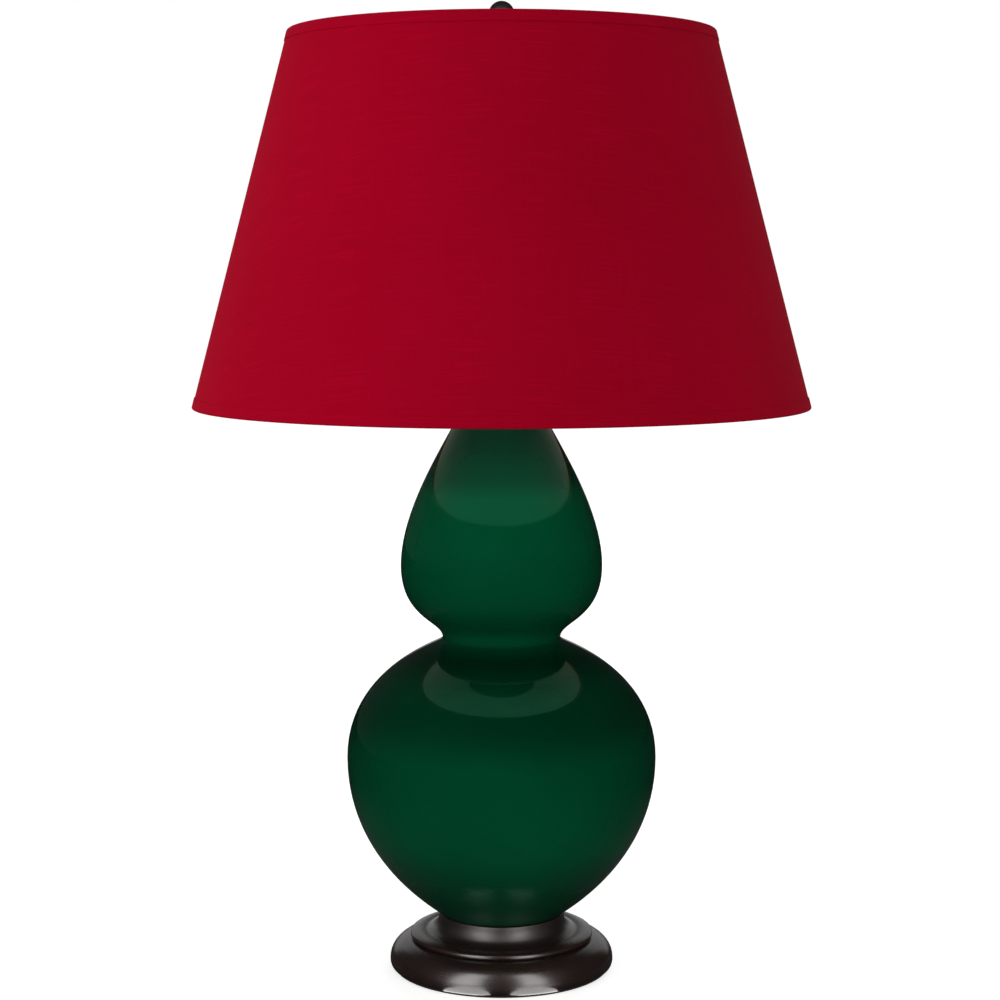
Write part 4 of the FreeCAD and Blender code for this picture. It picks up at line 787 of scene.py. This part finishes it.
# Dyed cotton: a deep, matt red with a little fuzz. It looks plain from afar, and close up
# it has fine streaks of lighter and darker thread.
cotton, tree, shader = new_material("plain-woven cotton, laminated", {
    "Roughness": 0.9, "Specular IOR Level": 0.05, "Sheen Weight": 0.06, "Sheen Roughness": 0.4,
    "Sheen Tint": linear("FF2030")})
cut = add_node(tree, "ShaderNodeUVMap", uv_map="flat_cut")
# The real threads are 0.4 mm apart. They are drawn 0.8 mm apart, to show in the picture.
weft, warp = [add_node(tree, "ShaderNodeTexWave", {
    "Vector": cut.outputs["UV"], "Scale": wave_scale(pitch=0.8), "Distortion": 0.6,
    "Detail": 1.0, "Detail Scale": 3.0}, bands_direction=way) for way in ("Y", "X")]
woven = add_node(tree, "ShaderNodeMath", {
    0: weft.outputs["Fac"], 1: warp.outputs["Fac"]}, operation="ADD")
# Slubs: thicker stretches of weft, about 45 mm long and 1 mm high.
along = add_node(tree, "ShaderNodeMapping", {
    "Vector": cut.outputs["UV"], "Scale": (grained(45.5), grained(1.053), 1)})
slub_field = add_node(tree, "ShaderNodeTexNoise", {
    "Vector": along.outputs["Vector"], "Scale": 1.0, "Detail": 2.0, "Roughness": 0.5})
slub = add_node(tree, "ShaderNodeMapRange", {
    "Value": slub_field.outputs["Fac"], "From Min": 0.56, "From Max": 0.76})
# The warp varies too, thread by thread, over some 70 mm. The dye drifts over 140 mm.
across = add_node(tree, "ShaderNodeMapping", {
    "Vector": cut.outputs["UV"], "Scale": (grained(1.053), grained(71.4), 1)})
warp_field = add_node(tree, "ShaderNodeTexNoise", {
    "Vector": across.outputs["Vector"], "Scale": 1.0, "Detail": 2.0, "Roughness": 0.5})
blotch = add_node(tree, "ShaderNodeTexNoise", {
    "Vector": cut.outputs["UV"], "Scale": grained(143), "Detail": 3.0})
threads = add_node(tree, "ShaderNodeMath", {
    0: slub_field.outputs["Fac"], 1: warp_field.outputs["Fac"]}, operation="ADD")
all_three = add_node(tree, "ShaderNodeMath", {
    0: threads.outputs["Value"], 1: blotch.outputs["Fac"]}, operation="ADD")
tone = add_node(tree, "ShaderNodeMath", {
    0: all_three.outputs["Value"], 1: 3.0}, operation="DIVIDE")
dye = add_node(tree, "ShaderNodeValToRGB", {"Fac": tone.outputs["Value"]})
dye.color_ramp.elements[0].position = 0.30
dye.color_ramp.elements[0].color = linear("9C001D")
dye.color_ramp.elements[1].position = 0.70
dye.color_ramp.elements[1].color = linear("AA0023")
lighter = add_node(tree, "ShaderNodeMix", {
    0: slub.outputs["Result"], 6: dye.outputs["Color"], 7: linear("B00126")}, data_type="RGBA")
tree.links.new(lighter.outputs[2], shader.inputs["Base Color"])
relief = add_node(tree, "ShaderNodeMath", {
    0: woven.outputs["Value"], 1: slub.outputs["Result"]}, operation="ADD")
bump = add_node(tree, "ShaderNodeBump", {
    "Height": relief.outputs["Value"], "Strength": 0.25, "Distance": 0.15 * MM})
tree.links.new(bump.outputs["Normal"], shader.inputs["Normal"])

fabric = turn("shade_cover", on_cone(CLOTH_THICKNESS, 0), [
    on_cone(0, 0),
    on_cone(0, SHADE_HEIGHT),
    on_cone(CLOTH_THICKNESS, SHADE_HEIGHT),
    on_cone(CLOTH_THICKNESS, 0),
], level=SHADE_FLOOR, segments=240)
lay_cut(fabric)
cover(fabric, cotton)
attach(fabric, "shade")
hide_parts("shade_fabric")

# ------------------------------------------------------------------ shade's backing
# A stiff sheet of white styrene that the cloth is laminated to. Rolled with it into a
# cone, it keeps the shade's form, and it is what shows inside the shade.

# Smooth styrene: a warm white with a broad soft shine, a little uneven over 80 mm.
styrene, tree, shader = new_material("white styrene sheet, smooth", {
    "Base Color": linear("E6E1D8"), "Roughness": 0.45, "Specular IOR Level": 0.3})
place = add_node(tree, "ShaderNodeTexCoord")
haze = add_node(tree, "ShaderNodeTexNoise", {
    "Vector": place.outputs["Object"], "Scale": grained(83.3), "Detail": 3.0})
cream = add_node(tree, "ShaderNodeMix", {
    0: haze.outputs["Fac"], 6: linear("DCD6CB"), 7: linear("EAE6DE")}, data_type="RGBA")
tree.links.new(cream.outputs[2], shader.inputs["Base Color"])
cover(nodes["shade_backing"], styrene)

# -------------------------------------------------------------------- shade's trims
# Two strips of the same cotton, one folded over each edge of the cone and the ring in
# it, and glued down on the outside and the inside. They hide the cut edges.

STRIP_THICKNESS = 0.6
BACKING_THICKNESS = 1.2
WIRE_RADIUS = 1.6
WIRE_ON_SLANT = 1.04
WIRE_PLAY = 0.15
# A strip reaches in past the cloth, the backing and both halves of the ring's wire.
inside = (CLOTH_THICKNESS + BACKING_THICKNESS + WIRE_RADIUS * WIRE_ON_SLANT + WIRE_PLAY
          + WIRE_RADIUS * WIRE_ON_SLANT + WIRE_PLAY)


def fold_trim(name, level, way):
    """A strip of cloth folded over an edge: outside, round the edge, and up the inside."""
    outer_end = level + way * 8
    inner_end = level + way * 6.5
    bend = level + way * 1.2
    under = level - way * STRIP_THICKNESS
    trim = turn(name, on_cone(0, outer_end), [
        on_cone(-0.35, outer_end + way * 0.05),
        on_cone(-STRIP_THICKNESS, outer_end - way * 0.35),
        on_cone(-STRIP_THICKNESS, bend),
        (on_cone(-STRIP_THICKNESS, level), on_cone(0.4, under), on_cone(1.6, under)),
        on_cone(inside - 1.2, under),
        (on_cone(inside + 0.2, under), on_cone(inside + STRIP_THICKNESS, level),
         on_cone(inside + STRIP_THICKNESS, bend)),
        on_cone(inside + STRIP_THICKNESS, inner_end),
        on_cone(inside, inner_end),
        on_cone(inside, level),
        on_cone(0, level),
        on_cone(0, outer_end),
    ], level=SHADE_FLOOR, segments=240, detail=5)
    lay_cut(trim)
    cover(trim, cotton)
    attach(trim, "shade")
    return trim


trim_low = fold_trim("trim_bottom", 0, 1)
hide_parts("shade_trim_bottom")
trim_high = fold_trim("trim_top", SHADE_HEIGHT, -1)
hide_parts("shade_trim_top")

# ---------------------------------------------------------------------- shade's lap
# At the back the cover laps over its own edge, from trim to trim. The upper layer is
# glued down, and its turned edge stands up by its thickness.

LAP_LENGTH = 273
lap_level = SHADE_HEIGHT / 2
lap_radius = cone_radius(0, lap_level)
bpy.ops.object.select_all(action="DESELECT")
bpy.ops.mesh.primitive_cube_add(
    size=1, location=(0, (lap_radius + 0.1) * MM, (SHADE_FLOOR + lap_level) * MM),
    scale=(12 * MM, 0.7 * MM, 1 * MM))
lap = bpy.context.object
lap.name = "shade_lap"
bpy.ops.object.transform_apply()
bpy.ops.object.mode_set(mode="EDIT")
bpy.ops.mesh.subdivide(number_cuts=5)
bpy.ops.object.mode_set(mode="OBJECT")
for vertex in lap.data.vertices:
    along = (vertex.co.z / MM - SHADE_FLOOR - lap_level) * LAP_LENGTH
    out = vertex.co.y / MM - lap_radius
    away = cone_radius(0, lap_level + along)
    round_cone = math.sqrt(max(away ** 2 - (vertex.co.x / MM) ** 2, 0))
    vertex.co.y = (round_cone + out) * MM
    vertex.co.z = (SHADE_FLOOR + lap_level + along) * MM
rounding = lap.modifiers.new("turned_edge", "BEVEL")
rounding.width = 0.2 * MM
rounding.segments = 3
rounding.limit_method = "ANGLE"
bpy.ops.object.modifier_apply(modifier="turned_edge")
bpy.ops.object.shade_smooth_by_angle(angle=math.radians(40))
lay_cut(lap)
cover(lap, cotton)
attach(lap, "shade")

# The softbox to the left of the shade, which only the cloth takes its light from.
key_lamp = soft_lamp("shade_softbox", (-3.3, -0.9, 1.3), (0, 0, 0.6), 1.6, 1.6, 44)
cloth = bpy.data.collections.new("shade_cloth")
for piece in (fabric, trim_low, trim_high, lap):
    cloth.objects.link(piece)
key_lamp.light_linking.receiver_collection = cloth

# The white table throws light up into the shade, onto its backing and what is in it.
table_light = soft_lamp("table_bounce", (0, 0.6, 0.003), (0, -0.2, 0.62), 0.9, 0.9, 12)
inside_shade = bpy.data.collections.new("inside_the_shade")
for name in ("shade_backing", "shade_top_ring", "shade_bottom_ring", "shade_spider",
             "harp_wire_bow", "harp_saddle", "socket_cap", "socket_shell", "bulb_glass",
             "mouth_cap", "neck_spacer"):
    inside_shade.objects.link(nodes[name])
table_light.light_linking.receiver_collection = inside_shade
table_light.light_linking.blocker_collection = inside_shade

# ----------------------------------------------------------------------------- finial
# A turned brass finial with the foot's dark bronze finish: a ball on a collar and a
# waisted stem. It screws down on the stud and holds the spider's washer.

cover(nodes["finial"], bronze)
bronze_pieces.objects.link(nodes["finial"])
